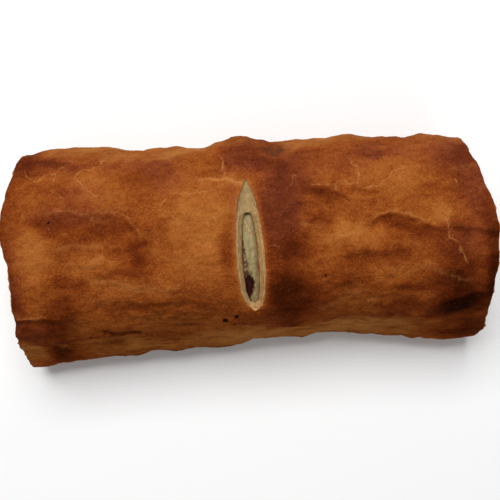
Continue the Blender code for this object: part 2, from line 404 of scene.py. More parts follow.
def new_tube(name, around, along):
    """An open tube along X with marks for its share of the length and its angle round it."""
    bpy.ops.object.select_all(action="DESELECT")
    bpy.ops.mesh.primitive_cylinder_add(vertices=around, radius=1.0, depth=2.0, end_fill_type="NOTHING",
                                        rotation=(0, math.pi / 2, 0))
    piece = bpy.context.object
    piece.name = name
    piece.data.name = name
    bpy.ops.object.transform_apply(location=True, rotation=True, scale=True)
    edit(piece)
    for parts in (LENGTH_PARTS, along // LENGTH_PARTS):
        select_edges(piece, lambda edge: abs(edge.verts[0].co.x - edge.verts[1].co.x) > 1e-3)
        bpy.ops.mesh.subdivide(number_cuts=parts - 1)
    leave_edit()
    places = read_places(piece)
    turn = np.arctan2(places[:, 2], places[:, 1]) / (2 * math.pi) - BOTTOM_TURN
    row = np.round(np.mod(turn, 1.0) * around)
    write_marks(piece, "share", places[:, 0])
    write_marks(piece, "row", np.mod(row, around))
    for name in ("depth", "zone", "side"):
        write_marks(piece, name, np.zeros(len(places)))
    return piece


# ---------------------------------------------------------------------------
# Crust: how the faces are spread round and along the roll
# ---------------------------------------------------------------------------
END_STEPS = 17
WALL_STEPS = 14
TUNNEL_STEPS = 12
BASE_TOP = 0.3                # height up to which a face belongs to the hidden underside
BASE_DENSITY = 0.3            # faces there are this much sparser
ANGLE_STEPS = 2880            # fine steps round the roll for measuring its outline
LENGTH_STEPS = 4000           # and along it
CUT_DENSITY = 0.6             # extra density of faces along the roll near the cut
CUT_CROWD = 0.09              # share of the length over which that fades
END_DENSITY = 0.5             # extra density near the ends
END_CROWD = 0.04              # share of the length over which that fades
SAME_SHARE = 1e-4             # shares of the length that differ by less are the same


def angles_for_rows(around):
    """Angle round the roll for each row of faces, evenly spread over the crust and sparse beneath it."""
    angle = 2 * math.pi * (np.linspace(0, 1, ANGLE_STEPS + 1) + BOTTOM_TURN)
    curve = crust_places(np.zeros(len(angle)), angle)
    step = np.linalg.norm(np.diff(curve, axis=0), axis=1)
    middle = (curve[1:] + curve[:-1]) / 2
    weight = np.where(middle[:, 2] < BASE_TOP, BASE_DENSITY, 1.0)
    run = np.concatenate([[0.0], np.cumsum(step * weight)])
    return np.interp(np.arange(around) / around, run / run[-1], angle)


def crust_density(share):
    """How closely the crust's faces stand along its length."""
    density = 1 + CUT_DENSITY * np.exp(-(share / CUT_CROWD) ** 2)
    return density + END_DENSITY * np.exp(-((1 - np.abs(share)) / END_CROWD) ** 2)


def crowded_shares(share, steps, density_at):
    """Shares of the length, drawn closer together where the density is higher."""
    fine = np.linspace(-1, 1, steps + 1)
    density = density_at(fine)
    run = np.concatenate([[0.0], np.cumsum((density[1:] + density[:-1]) / 2)])
    return np.interp((share + 1) / 2, run / run[-1], fine)


def rows_between(angles, widths):
    """Which rows cross the crown between the two ends of an outline of the cut."""
    places = crust_places(np.zeros(len(angles)), angles)
    return (places[:, 2] > WAIST_HEIGHT) & (places[:, 1] >= widths[0][0]) & (places[:, 1] <= widths[-1][0])


def crust_topology(sizes):
    """The crust as a tube with thick ends, a tunnel and an open cut, before it gets its form."""
    piece = new_tube("crust", sizes.crust_around, sizes.crust_along)
    angles = angles_for_rows(sizes.crust_around)
    rim_rows = rows_between(angles, CUT_RIM)
    hole_rows = rows_between(angles, CUT_HOLE)
    edit(piece)

    def mark_tunnel(shape, vert, part):
        marker(TUNNEL)(shape, vert, 1.0)
        vert[layer(shape, "share")] = 2 * part - 1

    extrude_end(piece, 1, END_STEPS, marker(END))
    extrude_end(piece, -1, END_STEPS, marker(END))
    extrude_rim(piece, TUNNEL_STEPS, mark_tunnel)

    shape = bmesh.from_edit_mesh(piece.data)
    share, row, zone = layer(shape, "share"), layer(shape, "row"), layer(shape, "zone")

    def on_cut(edge):
        first, second = edge.verts
        if max(abs(first[share]), abs(second[share])) > SAME_SHARE or first[zone] != second[zone]:
            return False
        on_outline = rim_rows if first[zone] == SKIN else hole_rows
        return first[zone] in (SKIN, TUNNEL) and on_outline[int(first[row])] and on_outline[int(second[row])]

    select_edges(piece, on_cut)
    bpy.ops.mesh.edge_split(type="EDGE")
    shape = bmesh.from_edit_mesh(piece.data)
    share, zone, side = layer(shape, "share"), layer(shape, "zone"), layer(shape, "side")
    for vert in shape.verts:
        if abs(vert[share]) < SAME_SHARE and vert.is_boundary and vert[zone] in (SKIN, TUNNEL):
            lean = sum(other[share] for face in vert.link_faces for other in face.verts)
            vert[side] = 0.0 if abs(lean) < SAME_SHARE else math.copysign(1.0, lean)
    bmesh.update_edit_mesh(piece.data)
    select_edges(piece, lambda edge: edge.is_boundary and all(
        vert[zone] == SKIN and abs(vert[share]) < SAME_SHARE for vert in edge.verts))
    extrude_rim(piece, WALL_STEPS, marker(WALL))
    leave_edit()
    return piece, angles


# ---------------------------------------------------------------------------
# Marks on the crust, placed on the plan, in millimetres
# ---------------------------------------------------------------------------
# (height of the crest, depth of the hollow on its near side, width of the hollow, points of the crest)
FOLDS = [
    (0.5, 0.7, 5.5, [(32, 3.8), (37, 5.4), (40, 6.5), (43, 7.1), (46, 6.8), (49, 5.8), (52, 4.6),
        (55, 2.9), (58, 1.6), (62, 1)]),
    (0.4, 0.5, 4.0, [(59, 3), (62, 2.6), (65, 2.1), (69, 1.5), (73, 0.6), (78, 0)]),
    (0.3, 0.4, 6.5, [(-65, 11), (-61, 11.6), (-57, 12.4), (-52, 12), (-47, 11.3), (-41, 10.9),
        (-37, 10.4), (-35.3, 8.6), (-33.6, 5.8), (-31, 3), (-27, 2)]),
    (0.2, 0.06, 3.0, [(-62, 0), (-56, 1.3), (-50, 2), (-43, 1.4)]),
    (0.25, 0.15, 2.5, [(-51, -6.4), (-46, -3.5), (-42, -3)]),
    (0.3, 0.6, 4.0, [(-77, -19.2), (-71, -19), (-62, -18.9), (-57, -19.5)]),
    (0.35, 0.35, 3.5, [(26, -4.8), (28, -4), (32, -3.7), (40, -4), (45, -3.5), (50, -4.4)]),
    (0.3, 0.4, 2.6, [(17, 6.2), (20, 6.8), (23, 7.1), (26, 6)]),
    (0.3, 0.4, 4.0, [(16, 15.6), (19, 16.2), (24, 16), (27, 14.8), (31, 12.6), (36, 10.6)]),
    (0.25, 0.35, 2.6, [(29, 15.6), (31, 15.6), (36, 15), (40, 14.8), (44, 14.2)]),
    (0.3, 0.35, 2.4, [(32, 25.8), (36, 25.4), (42, 25.2), (48, 25), (57, 25.2)]),
    (0.3, 0.15, 3.5, [(-44, -8.5), (-35, -11), (-25, -12), (-17, -12.6)]),
    (0.4, 0.25, 5.0, [(-50, -14.5), (-40, -15.5), (-28, -16), (-20, -15.5)]),
    (0.45, 0.7, 1.6, [(-75, -26.8), (-68, -26.8), (-64, -26.7), (-57, -26.3), (-50, -25.6),
        (-42, -25.0), (-34, -25.3), (-26, -26), (-18, -26.4)]),
    (0.4, 0.7, 1.8, [(16, -25.6), (20, -24.6), (25, -23.3), (29, -22.6), (35, -22.8), (42, -23.3),
        (50, -23.9), (60, -25)]),
    (0.2, 0.25, 2.2, [(14, 5.2), (17, 4.2), (21, 3.7), (24, 4.4)]),
]
FOLD_BACK = 5.0               # how far a crest swells behind its edge
FOLD_EDGE = 2.1               # width of the steep face below the crest
FOLD_SHADE = 0.9              # where, below the crest, the hollow starts to get painted shade and some browning
FOLD_SHADE_WIDTH = 0.7        # share of the hollow's width that gets painted shade and some browning
FOLD_TAPER = 0.22             # share of a fold over which its ends fade
CREST_WIDTH = 0.6             # half the width of the paler line along a crest, partly painted highlight, partly paler skin

# (strength, points) of pale lines where the glazed skin split
CRACKS = [
    (0.9, [(-40.8, 28.3), (-41.5, 27), (-43.5, 26.2), (-45, 24.9), (-49, 24.4), (-50.8, 23.4),
        (-51.1, 22.1), (-49.9, 20.8), (-48.5, 19.5), (-46.8, 17.6), (-44.6, 16.5), (-43.1, 15.4),
        (-42.5, 14)]),
    (0.8, [(-66.2, 26.3), (-66, 24.7), (-65.1, 23.2), (-63.2, 22.4), (-62.2, 22.2), (-60.6, 23.6),
        (-59.2, 23.9), (-57.3, 23.9), (-57.4, 23), (-58.2, 22), (-57.7, 21), (-57.1, 19.8)]),
    (0.7, [(-58.6, 18.4), (-56.9, 17.7), (-55.9, 17.4), (-55.1, 16.4)]),
    (0.7, [(-56, 25.9), (-54.5, 26), (-53.4, 25.4)]),
    (0.5, [(-69.4, 23.8), (-67.6, 23), (-66.6, 21.6)]),
    (0.6, [(-61.2, 11.3), (-59.6, 12.5), (-55.9, 12.3), (-52.9, 12.1), (-47.4, 11.4)]),
    (0.6, [(-45.9, 11.3), (-43.3, 12.8), (-40.3, 12.9), (-37.2, 13.3)]),
    (0.6, [(-44.9, 11.2), (-42.3, 11.5), (-39.4, 11), (-37.4, 10.8), (-35.9, 9.6), (-34.2, 6.8),
        (-32.8, 4.6)]),
    (0.5, [(-48.4, 11), (-46.5, 9.9), (-44.5, 9)]),
    (0.5, [(-59.6, 8.1), (-59.7, 5.5)]),
    (0.4, [(-54.1, 7.2), (-50.7, 6), (-49.1, 6.9)]),
    (1.0, [(-12.8, 20.1), (-10.1, 19.9), (-7.8, 19.4), (-5.8, 19.7), (-3.8, 19.2), (-1.9, 18.2),
        (-0.9, 17.2)]),
    (0.9, [(-6.8, 26.4), (-6.6, 24.2), (-7.1, 22.5), (-6.7, 21.2), (-7.1, 19.8)]),
    (0.8, [(-7.9, 19.3), (-8.2, 17.3), (-9.2, 16.6), (-12.5, 16.5), (-16, 16.2), (-20.3, 15.9),
        (-22.5, 16.6)]),
    (0.9, [(-23.8, 14.4), (-25.2, 13.6), (-26.5, 13), (-28.5, 12.6)]),
    (0.5, [(-38.6, 13), (-36, 13.6), (-34, 13)]),
    (0.7, [(-23.8, 11.1), (-22.9, 10), (-22.4, 9), (-20.9, 8.4), (-19.8, 6.8)]),
    (0.9, [(31, 24.9), (33.3, 22), (34, 19.9), (33.7, 17.7), (33.8, 16), (32, 16.3), (30.5, 16.5),
        (28.5, 17.6), (27, 16.5), (26.4, 15.1), (27.9, 14.3)]),
    (0.7, [(28.5, 17.6), (26, 16.4), (24, 16.5), (21.5, 16.9), (19, 16.6)]),
    (0.9, [(33.8, 16), (35, 15.1), (37.5, 15.2), (40.1, 15.3), (41, 16.6), (43.4, 17.9), (43.6, 19.6),
        (45.3, 20.1), (47.3, 19.9), (50, 20.3)]),
    (0.4, [(34, 22), (37, 22.8), (41, 23.4)]),
    (1.0, [(63.2, 16.6), (63.2, 15)]),
    (0.8, [(58, 6.8), (59.4, 5.6), (60.2, 3.2), (60, 1)]),
    (0.6, [(59.4, 5.6), (61.6, 6.2)]),
    (0.7, [(39, 6.7), (43, 7.6), (46, 7.3), (49, 6.3), (52, 5.1), (55, 3.4), (58, 2)]),
    (0.9, [(60, 1), (60.8, -1), (62.3, -2.6), (63.4, -4.6), (62.8, -5.6), (64.2, -6.6), (65, -8.4),
        (66, -9.6)]),
    (0.5, [(60, -14.3), (61.2, -13), (63, -12.8)]),
    (0.4, [(61, 19.5), (64, 19.8), (68, 19.7)]),
    (0.6, [(12, 14.6), (12.8, 16.2), (13.8, 16.9), (13.9, 19), (15.6, 19.4)]),
    (0.4, [(9.6, 18.4), (11.4, 17.4)]),
    (0.5, [(-26, -5.8), (-27.3, -7.2), (-27.9, -9.2), (-27.7, -11.2)]),
    (0.6, [(14, -7.2), (17, -6.7), (19.4, -7)]),
    (0.6, [(5.5, -1.6), (7.6, -1.2), (9.4, -2)]),
    (0.7, [(26, 1.2), (28, 0.9), (31, 1.3)]),
    (0.5, [(26, 15.8), (24.4, 17.2), (22.6, 16.8)]),
    (0.5, [(29.6, -18.6), (31.4, -17.4), (33.4, -16.4)]),
]
# The same for thin dark lines of painted shadow with some browning: under the overhang at the seam of the
# lip, and below the edge of the skin along the folds
SHADOW_SEAMS = [
    (1.0, [(-78, -27.2), (-72, -27.1), (-66, -26.9), (-60, -26.6), (-55, -26.2), (-50, -25.8),
        (-45, -25.2)]),
    (0.8, [(20, -24.6), (25, -23.3), (29, -22.6), (35, -22.8), (42, -23.3), (50, -23.9), (56, -24.7)]),
    (0.45, [(60, 2.8), (62, 2.6), (65, 2.1), (69, 1.5), (73, 0.6), (78, 0)]),
    (0.35, [(39, 6), (43, 6.9), (46, 6.6), (49, 5.6), (52, 4.4), (55, 2.7), (58, 1.4)]),
    (0.6, [(30, -25.6), (32.4, -24.7), (35, -25), (37, -25.8)]),
    (0.7, [(-77, -19.6), (-71, -19.4), (-62, -19.3), (-58, -19.9)]),
]
LINE_REACH = 1.8              # how far beside a split or a seam its mark fades out
LINE_TAPER = 0.12             # share of a line over which its ends fade
LINE_TIP = 0.35               # how much of that fading is over at its very end

# (half the width, strength, points) of soft pale streaks of painted sheen along the crests of the wrinkles
SHEEN_STREAKS = [
    (0.8, 0.4, [(-50, 12), (-44, 11.6), (-38, 11.2), (-35.5, 9), (-34, 6.2), (-32, 3.6), (-27.5, 2.2)]),
    (0.8, 0.35, [(-62, 12.2), (-56, 12.8), (-50, 12)]),
    (0.8, 0.5, [(-48.6, 10.9), (-46.5, 9.7), (-44.4, 8.9)]),
    (1.0, 0.6, [(-57, 1), (-53.4, 2.1), (-50, 1.6), (-44, 1.6)]),
    (1.5, 0.7, [(-47.5, -3.4), (-44.5, -2)]),
    (1.0, 0.7, [(-48, -9.4), (-42, -9.2), (-38, -10.8), (-34, -12.2), (-28, -12.4), (-22, -11.8)]),
    (0.5, 0.9, [(-71, -19), (-66.8, -18.9), (-62.5, -18.8)]),
    (1.2, 0.6, [(-32.5, -10.9), (-30, -12), (-28.6, -11.4)]),
    (0.7, 0.6, [(25, 1.2), (28, 1), (31, 1.4)]),
    (0.5, 0.8, [(38.5, 6.4), (43, 7.6), (46, 7.2), (49, 6.2), (53, 4.4)]),
    (0.7, 0.6, [(15.5, 5.2), (18, 4.6), (21, 4), (23, 4.8)]),
    (1.0, 0.5, [(49, -9), (53, -9.6), (57, -11)]),
    (1.2, 0.5, [(21, -20.4), (26, -18.6), (31, -16.6), (35, -15.4)]),
    (0.9, 0.5, [(57, -11.4), (62, -13.4), (66, -14.4)]),
    (0.8, 0.5, [(54, 4), (57, 5.4), (60, 3.6)]),
    (0.8, 0.45, [(62, 19.6), (68, 20)]),
    (0.5, 0.9, [(-72, -27.5), (-63.4, -27.3)]),
    (0.5, 0.6, [(-60.4, -27.9), (-56, -28.2)]),
    (1.0, 0.4, [(30, -19.6), (36, -20.2)]),
    (0.8, 0.5, [(-26, 9.6), (-22, 7.2), (-20, 6.4)]),
    (0.7, 0.9, [(-14, 20), (-7, 19.7), (-4, 19), (-1.2, 17.4)]),
    (0.7, 0.5, [(-6.6, 26), (-6.6, 20)]),
    (0.9, 0.45, [(-52, 22), (-50, 19.5), (-45, 16.5)]),
    (0.9, 0.5, [(33, 21), (34, 18), (32, 16.6), (26, 15.6)]),
    (0.9, 0.5, [(44, 18), (45, 20), (52, 20.6)]),
    (0.9, 0.5, [(60.8, 7.6), (60.2, 3)]),
    (0.6, 0.4, [(60.4, 0), (62.4, -3), (65, -8)]),
    (0.8, 0.8, [(23.6, -26.6), (26.5, -25.8), (29.4, -25.4)]),
    (0.6, 0.8, [(34.6, -18.7), (37.4, -18.8)]),
]
# The same for rows of burnt specks
BURNT = [
    (1.1, 0.95, [(-45, -24.2), (-42, -24.6), (-37, -24.2), (-34, -24.8)]),
    (1.0, 0.5, [(-57, -26.4), (-50, -26), (-46, -25)]),
    (1.0, 0.5, [(-33, -25.4), (-28, -25.8), (-22, -25.8), (-16, -26)]),
    (1.0, 0.5, [(37, -24.6), (42, -24.3), (46, -24.2)]),
    (1.0, 0.35, [(34, 25), (42, 24.9), (49, 24.6)]),
]
# The same for where the far edge is not pale
TAN_BREAKS = [
    (4.5, 1.0, [(-78, 28), (-68, 32)]),
    (6.0, 1.0, [(-4, 32), (7, 31)]),
    (2.5, 0.8, [(29, 29), (33, 31)]),
    (3.0, 0.7, [(-60, 29), (-52, 29)]),
]

# (x, y, radius, strength) of small pale chips
CHIPS = [
    (22, -15, 0.5, 0.9), (-55, -10, 0.5, 0.9), (13, -14, 0.5, 0.6), (9.7, -14.2, 0.5, 0.6),
    (35, -19, 1.2, 0.6), (33, -17, 0.5, 0.6), (16.5, 1.7, 0.8, 0.5), (54, -10, 0.5, 0.6),
    (68, -13, 0.6, 0.6),
]
# (x, y, radius, depth from 0 to 1) of the holes where steam came out; their dark colour is painted shade
PITS = [
    (-60, 9.2, 0.7, 0.9), (-32.8, -0.1, 0.6, 0.55), (-8.3, -22.9, 1.15, 1), (-4.9, -21.9, 0.95, 1),
    (-5.8, -24.2, 0.8, 0.95), (-20.4, -20.6, 0.6, 0.6), (-27.7, -21.1, 0.6, 0.6), (22.6, -10.7, 0.55, 1),
    (32.3, -9.3, 0.7, 0.5), (-2, 20.2, 0.7, 0.5), (-1, -24.5, 0.7, 0.5), (-12, -20.5, 0.4, 0.6),
]

# Edge of the lip that is folded over, below which the skin is duller
LIP_SEAM = [
    (-77, -26.9), (-64, -26.7), (-50, -25.8), (-42, -25.2), (-34, -25.4), (-26, -26), (-10, -26.4),
    (6, -26.4), (14, -26), (20, -24.8), (25, -23.4), (29, -22.7), (35, -22.9), (42, -23.4), (50, -24),
    (60, -25), (77, -26),
]

# (x, y, half-length, half-width, turn in degrees, amount) of lighter and darker clouds of browning; some
# darker ones are painted shade, below the main fold and on the near right
CLOUDS = [
    (-66, 0, 6, 9, 0, -0.16), (-15, 7, 11, 14, 0, -0.16), (-44, 19, 7, 5, 0, -0.12),
    (30, 2, 10, 4, 0, -0.18), (45, 19, 9, 7, 0, -0.10), (38, -24, 12, 3.5, 8, -0.06),
    (58, 8, 8, 4, 0, -0.08), (-46, -3, 7, 4, 5, -0.06), (-14, -4, 9, 6, 0, -0.06),
    (-38, -12.5, 9, 2.5, -6, -0.12), (-20, 28, 18, 2, 0, -0.06), (10, -28.5, 40, 2.2, 2, -0.20),
    (42, -9, 10, 4, 0, -0.06), (52, 19, 4, 5, 0, -0.04), (-46, -29, 10, 3, 0, -0.06),
    (-66, -29, 5, 3, 0, -0.10), (-48, 7, 14, 4, 0, 0.13), (-33, -4, 4, 7, 0, 0.16),
    (-57, -20, 6, 8, -10, 0.19), (-62, 9, 7, 4, 0, 0.10), (9, 8, 6, 20, 0, 0.21),
    (11.5, -17, 9, 9, 0, 0.30), (15, 0, 6, 8, 0, 0.10), (-7, 0, 2.6, 8, 0, 0.15), (22, 4, 3, 3, 0, 0.14),
    # Darker clouds on the near right, round (64, -20), are partly painted shade
    (0, -24, 5, 3, 0, 0.10), (0, 26, 7, 5, 0, 0.18), (64, -20, 11, 5, 12, 0.16), (72, -20, 3, 4, 0, 0.08),
    (63, -21.4, 8.5, 2.8, 14, 0.30), (65, -8, 6, 8, 0, 0.18), (60, -14, 8, 4, 0, 0.20),
    (68, 17, 6, 12, 0, 0.14), (74, -4, 3.5, 16, 0, 0.20), (-73, 24, 3, 4, 0, 0.25),
    (-40, -7.5, 5, 2, 0, 0.14), (44, -21.5, 8, 2.4, 0, 0.20), (-4, 19.5, 6, 3, 0, -0.12),
    (19, 14.5, 6, 3.5, 0, 0.15), (25, 12, 4, 2.5, 0, 0.12), (22, 17, 4, 2, 0, -0.10),
    (32, 12, 5, 2, 0, -0.10), (36, -6, 12, 2.6, 5, 0.12), (-60, 26.5, 12, 2.5, 0, 0.16),
    (-28, 23, 9, 5, 0, 0.12), (-72, 8, 5, 22, 0, 0.06), (-73, -10, 4, 14, 0, 0.14),
    (-56, -9, 8, 3, -8, 0.12), (-14, -19, 12, 4, 0, 0.08), (26, -14, 7, 4, 0, 0.12),
    (15, -3, 5, 3, 0, 0.08), (16, -9, 4, 5, 0, -0.10), (16, 22, 7, 5, 0, 0.14),
    (-32, -16, 7, 2.5, 0, 0.06), (-70, 25, 5, 5, 0, 0.06), (58, 22, 5, 5, 0, 0.08),
    (38, 26, 10, 2, 0, 0.12), (-56, -31, 7, 3, 0, 0.14), (68, -30, 12, 5, 0, 0.16),
    (-67, -23, 7, 3, 0, 0.18), (-60, -25, 3.5, 4, 0, 0.06), (-58.5, -30, 4, 3, 0, 0.14),
    (59.5, 6, 2.6, 2.5, 0, -0.12), (-49, 12.5, 5, 2, 0, 0.10), (56, 12, 5, 3, 0, 0.08),
    (74, -14, 3.5, 7, 0, 0.14), (48, -16, 5, 3, 0, 0.12), (33, -12, 5, 3, 0, 0.10),
    (9, -6, 4, 5, 0, -0.10), (-30, 4, 4, 3, 0, 0.10), (64, 24, 5, 3, 0, 0.12), (62, -29, 9, 3, 0, 0.14),
    (-64, 28.5, 7, 1.6, 0, 0.16), (26, -29, 8, 2, 0, -0.12), (-72, -13, 3, 3, 0, 0.12),
    # (46, 3.4) and (52, 0) are painted shade below the main fold
    (-36, -28, 8, 2, 0, -0.08), (46, 3.4, 7, 1.8, -16, 0.12), (52, 0, 8, 3, -10, 0.07),
    (48, -16.5, 5, 2, 0, 0.08), (64, 1, 5, 4, 0, 0.09), (32, 5, 4, 2, 0, 0.09),
    (-34, 0.5, 17, 2, 0, 0.06), (-56, 18, 5, 4, 0, 0.07), (-40, 24, 4, 2.5, 0, 0.07),
    (-32, 4, 3, 2, 0, -0.10), (10, 4, 6, 4, 0, -0.05),
]
CLOUD_STRENGTH = 1.2
CLOUD_EDGE = 1.3              # more gives a cloud a firmer edge
# The same for patches of pale, drier skin
TAN_PATCHES = [
    (-19, 28.3, 9, 1.5, 3, 0.7), (-36, 28.2, 8, 0.9, 0, 0.5), (19, 29, 8, 1.2, 2, 0.6),
    (64, 29.6, 8, 1.5, 0, 0.6), (24, -27.4, 9, 2.2, 3, 0.5), (38, -26.6, 9, 1.6, -4, 0.55),
    (-67, -29.6, 4.5, 2.4, 0, 0.5), (3, -28.6, 13, 1.7, 2, 0.7), (-2, -26.5, 8, 1.6, 0, 0.35),
    (-34, -28.6, 7, 1.4, 4, 0.35), (-14, -27.6, 6, 1.2, 4, 0.35),
]
# The same for skin that browned more red
REDDISH = [
    (12, 20, 8, 9, 0, 0.9), (10, 8, 6, 9, 0, 0.8), (62, 24.5, 8, 4.5, -10, 0.9), (69, 13, 5, 9, 12, 0.9),
    (-52, 10.5, 12, 3, 0, 0.6), (-24, 21.5, 6, 5, 0, 0.6), (-33, 25, 12, 3, 0, 0.5),
    (-3.5, 8, 1.6, 9, 0, 0.7), (0, 26, 6, 5, 0, 0.9), (-58, 27, 12, 3, 0, 0.7), (40, 26, 12, 3, 0, 0.7),
    (66, -2, 7, 5, 0, 0.7), (-72, -12, 3, 14, 0, 0.6), (30, 22, 10, 4, 0, 0.3), (-50, 17, 7, 4, 0, 0.4),
    (-68, -23, 6, 3, 0, 0.6),
]
# The same for skin that stayed an earthy brown
EARTHY = [
    (28, -18.4, 6.5, 1.7, 28, 0.7), (-24, -21, 14, 3, 0, 0.5), (-52, -22, 5, 2.5, 0, 0.5),
    (46, -26.4, 9, 1.6, -6, 0.6),
]
# The same for a spot that is burnt to a greyish brown
SCORCH = [(9.5, 28.7, 4.6, 1.7, 0, 1.6)]


def marks_near(spots, strokes):
    """The strongest of the soft strokes at each spot."""
    found = np.zeros(len(spots))
    for width, strength, line in strokes:
        distance, _, _ = beside_line(spots, line)
        found = np.maximum(found, strength * np.exp(-(distance / width) ** 2))
    return found


def line_marks(spots, lines):
    """How strong a thin line is near a spot, and the distance across it, negative on one side."""
    strongest = np.zeros(len(spots))
    across = np.full(len(spots), LINE_REACH)
    for strength, line in lines:
        distance, above, progress = beside_line(spots, line)
        taper = ease(np.minimum(progress, 1 - progress) / LINE_TAPER + LINE_TIP)
        near = strength * (1 - distance / LINE_REACH) * taper
        closer = near > strongest
        strongest = np.where(closer, near, strongest)
        across = np.where(closer, np.where(above, distance, -distance), across)
    return strongest, across


def fold_marks(spots):
    """Height of the folds, the painted shade (with some browning) in the hollow below each crest, and the
    painted highlight along each crest.
    """
    height, shade_below_crest, crest_highlight = (np.zeros(len(spots)) for _ in range(3))
    for crest, hollow, width, line in FOLDS:
        distance, above, progress = beside_line(spots, line)
        taper = ease(progress / FOLD_TAPER) * ease((1 - progress) / FOLD_TAPER)
        drop = ease(distance / FOLD_EDGE)
        dip = drop * np.exp(-(distance / width) ** 2)
        swell = crest * np.exp(-(distance / FOLD_BACK) ** 2)
        height += taper * np.where(above, swell, crest * (1 - drop) - hollow * dip)
        shade = hollow * ease(distance / FOLD_SHADE) * np.exp(-(distance / (FOLD_SHADE_WIDTH * width)) ** 2)
        shade_below_crest = np.maximum(shade_below_crest, taper * np.where(above, 0.0, shade))
        crest_highlight = np.maximum(crest_highlight, taper * crest * np.exp(-(distance / CREST_WIDTH) ** 2))
    return height, shade_below_crest, crest_highlight


def cloud_sum(spots, clouds):
    """Sum of soft ovals at each spot."""
    total = np.zeros(len(spots))
    for x, y, half_length, half_width, turn, amount in clouds:
        cosine, sine = math.cos(math.radians(turn)), math.sin(math.radians(turn))
        offset = spots - np.array([x, y], float)
        along = (offset[:, 0] * cosine + offset[:, 1] * sine) / half_length
        across = (offset[:, 1] * cosine - offset[:, 0] * sine) / half_width
        total += amount * np.exp(-(along ** 2 + across ** 2) ** CLOUD_EDGE)
    return total


# ---------------------------------------------------------------------------
# Crust: its form
# ---------------------------------------------------------------------------
# Noise in its relief: (size of the features in mm, octaves, seed, stretch along each axis)
SWELLS = (13.0, 2, 1.3, (1.4, 1.0, 1.0))
BILLOWS = (9.0, 2, 3.7, (1.7, 1.0, 1.0))
FINE_WRINKLES = (2.4, 3, 9.2, (1.2, 1.0, 1.0))
SIDE_RIPPLES = (5.0, 3, 24.4, (5.0, 1.0, 1.0))
SIDE_LAYERS = (11.0, 3, 4.4, (3.0, 1.0, 1.0))
END_WAVES = (14.0, 3, 6.6)
END_FLAKES = (7.0, 2, 16.6)
END_GRAIN = (4.0, 3, 8.8)
WALL_WAVES = (6.0, 2, 2.2)
BLISTERS = (5.0, 7.1, (1.4, 1.0, 1.0))           # (size, seed, stretch)

# Shares of the wrinkle height or of the blister height
SWELL_SHARE = 1.6
BILLOW_SHARE = 1.1
BILLOW_LEVEL = 0.25           # taken off the billows, which are never negative
BLISTER_EDGE = 0.5            # how wide the rounded edge of a blister is
FINE_SHARE = 0.8

# Holes of the steam, in shares of their radius, and the height of the rim round them
PIT_DEPTH = 0.8
PIT_WIDTH = 0.8
PIT_RIM_PLACE = 1.6
PIT_RIM_HEIGHT = 0.15

# Skin beside the cut
CUT_NEAR = 6.0                # how far from the cut its skin is shaped by it
RIM_RAISE = 0.35              # how far the skin curls up along the cut
RIM_CURL = 1.6                # width of that curl
RIM_RELIEF = 0.35             # share of the relief that is left at the rim
RIM_EVEN = 3.0                # how far from the rim the relief is whole again

# The sides, with the edges of the layers. (start, length) of where something fades in
RELIEF_FOOT = (1.0, 6.0)      # the skin's relief, above the base
SIDE_TOP = (27.0, -8.0)       # the ripples, below this height
SIDE_FOOT = (0.8, 2.0)        # and above this one
SIDE_BACK = (32.0, -40.0)     # and from the far side to the near side
RIPPLE_HEIGHT = 0.7
LAYER_HEIGHT = 0.16
LAYER_TURN = 2.6              # phase of the layers for each millimetre of height
LAYER_WAVE = 4.5
SIDE_DRAW = 0.4               # how far the sides are drawn in

# The cut faces of the ends
END_LAYERS = 4.6              # waves of the layers, from the skin to the tunnel
END_WAVINESS = 5.0
FLAKE_HEIGHT = 0.3
FLAKE_VARIATION = 0.5
END_ROUGHNESS = 0.7
END_BULGE = 0.35              # how far the middle of a cut face stands out
END_FADES = (0.12, 0.08)      # shares of the depth over which the relief fades, outside and inside

# Lines and clouds wander on the plan: (size in mm, seeds, octaves)
COARSE_WANDER = (2.4, (21.0, 33.0))
FINE_WANDER = (0.9, (41.0, 53.0))
LINE_WANDER = 0.75            # how far lines wander
FINE_WANDER_SHARE = 0.4
CLOUD_DRIFT = (9.0, (61.0, 75.0), 3)
CLOUD_WANDER = 2.2            # how far clouds wander

TUNNEL_CROWDING = 2.2         # the tunnel's rings stand closer together below the cut
KNEE_FULL_WIDTH = 3.0         # where the cut is narrower than this, its knee is less deep
KNEE_CURVE = 0.8
KNEE_LEAST = 0.25
SLOPE_CURVE = 0.9             # how straight the walls run in from the rim to the knee
WALL_CURVES = (0.5, 0.65)     # how straight they run down: at a closed end, and how much more at the hole
GROOVE_DEPTH = 0.06
GROOVE_TURN = 18.0            # phase of the grooves from the top to the bottom of a wall
GROOVE_FADE = 0.2             # share of the wall over which they fade
GROOVE_HOLE = 0.4             # half the width of the hole below which there are none

FAR_OFF = 99.0                # a distance at which nothing shapes or marks the crust
TINY = 1e-6                   # keeps a number from being divided by zero


def cut_walls(angles):
    """For each row of faces: the middle, rim, hole and knee of the cut, and how much of the hole is open."""
    y = crust_places(np.zeros(len(angles)), angles)[:, 1]
    halves = []
    for widths in (CUT_RIM, CUT_HOLE):
        rows = np.flatnonzero(rows_between(angles, widths))
        half = np.zeros(len(angles))
        half[rows[1:-1]] = reach_at(widths, y[rows[1:-1]])
        halves.append(half)
    rim, hole = halves
    from_end = np.minimum(y - CUT_HOLE[0][0], CUT_HOLE[-1][0] - y)
    open_part = np.where(hole > 0, ease(from_end / HOLE_END), 0.0)
    knee = KNEE_DEPTH * np.minimum(rim / KNEE_FULL_WIDTH, 1.0) ** KNEE_CURVE + KNEE_LEAST
    return reach_at(CUT_MIDDLE, y), rim, hole, knee, open_part


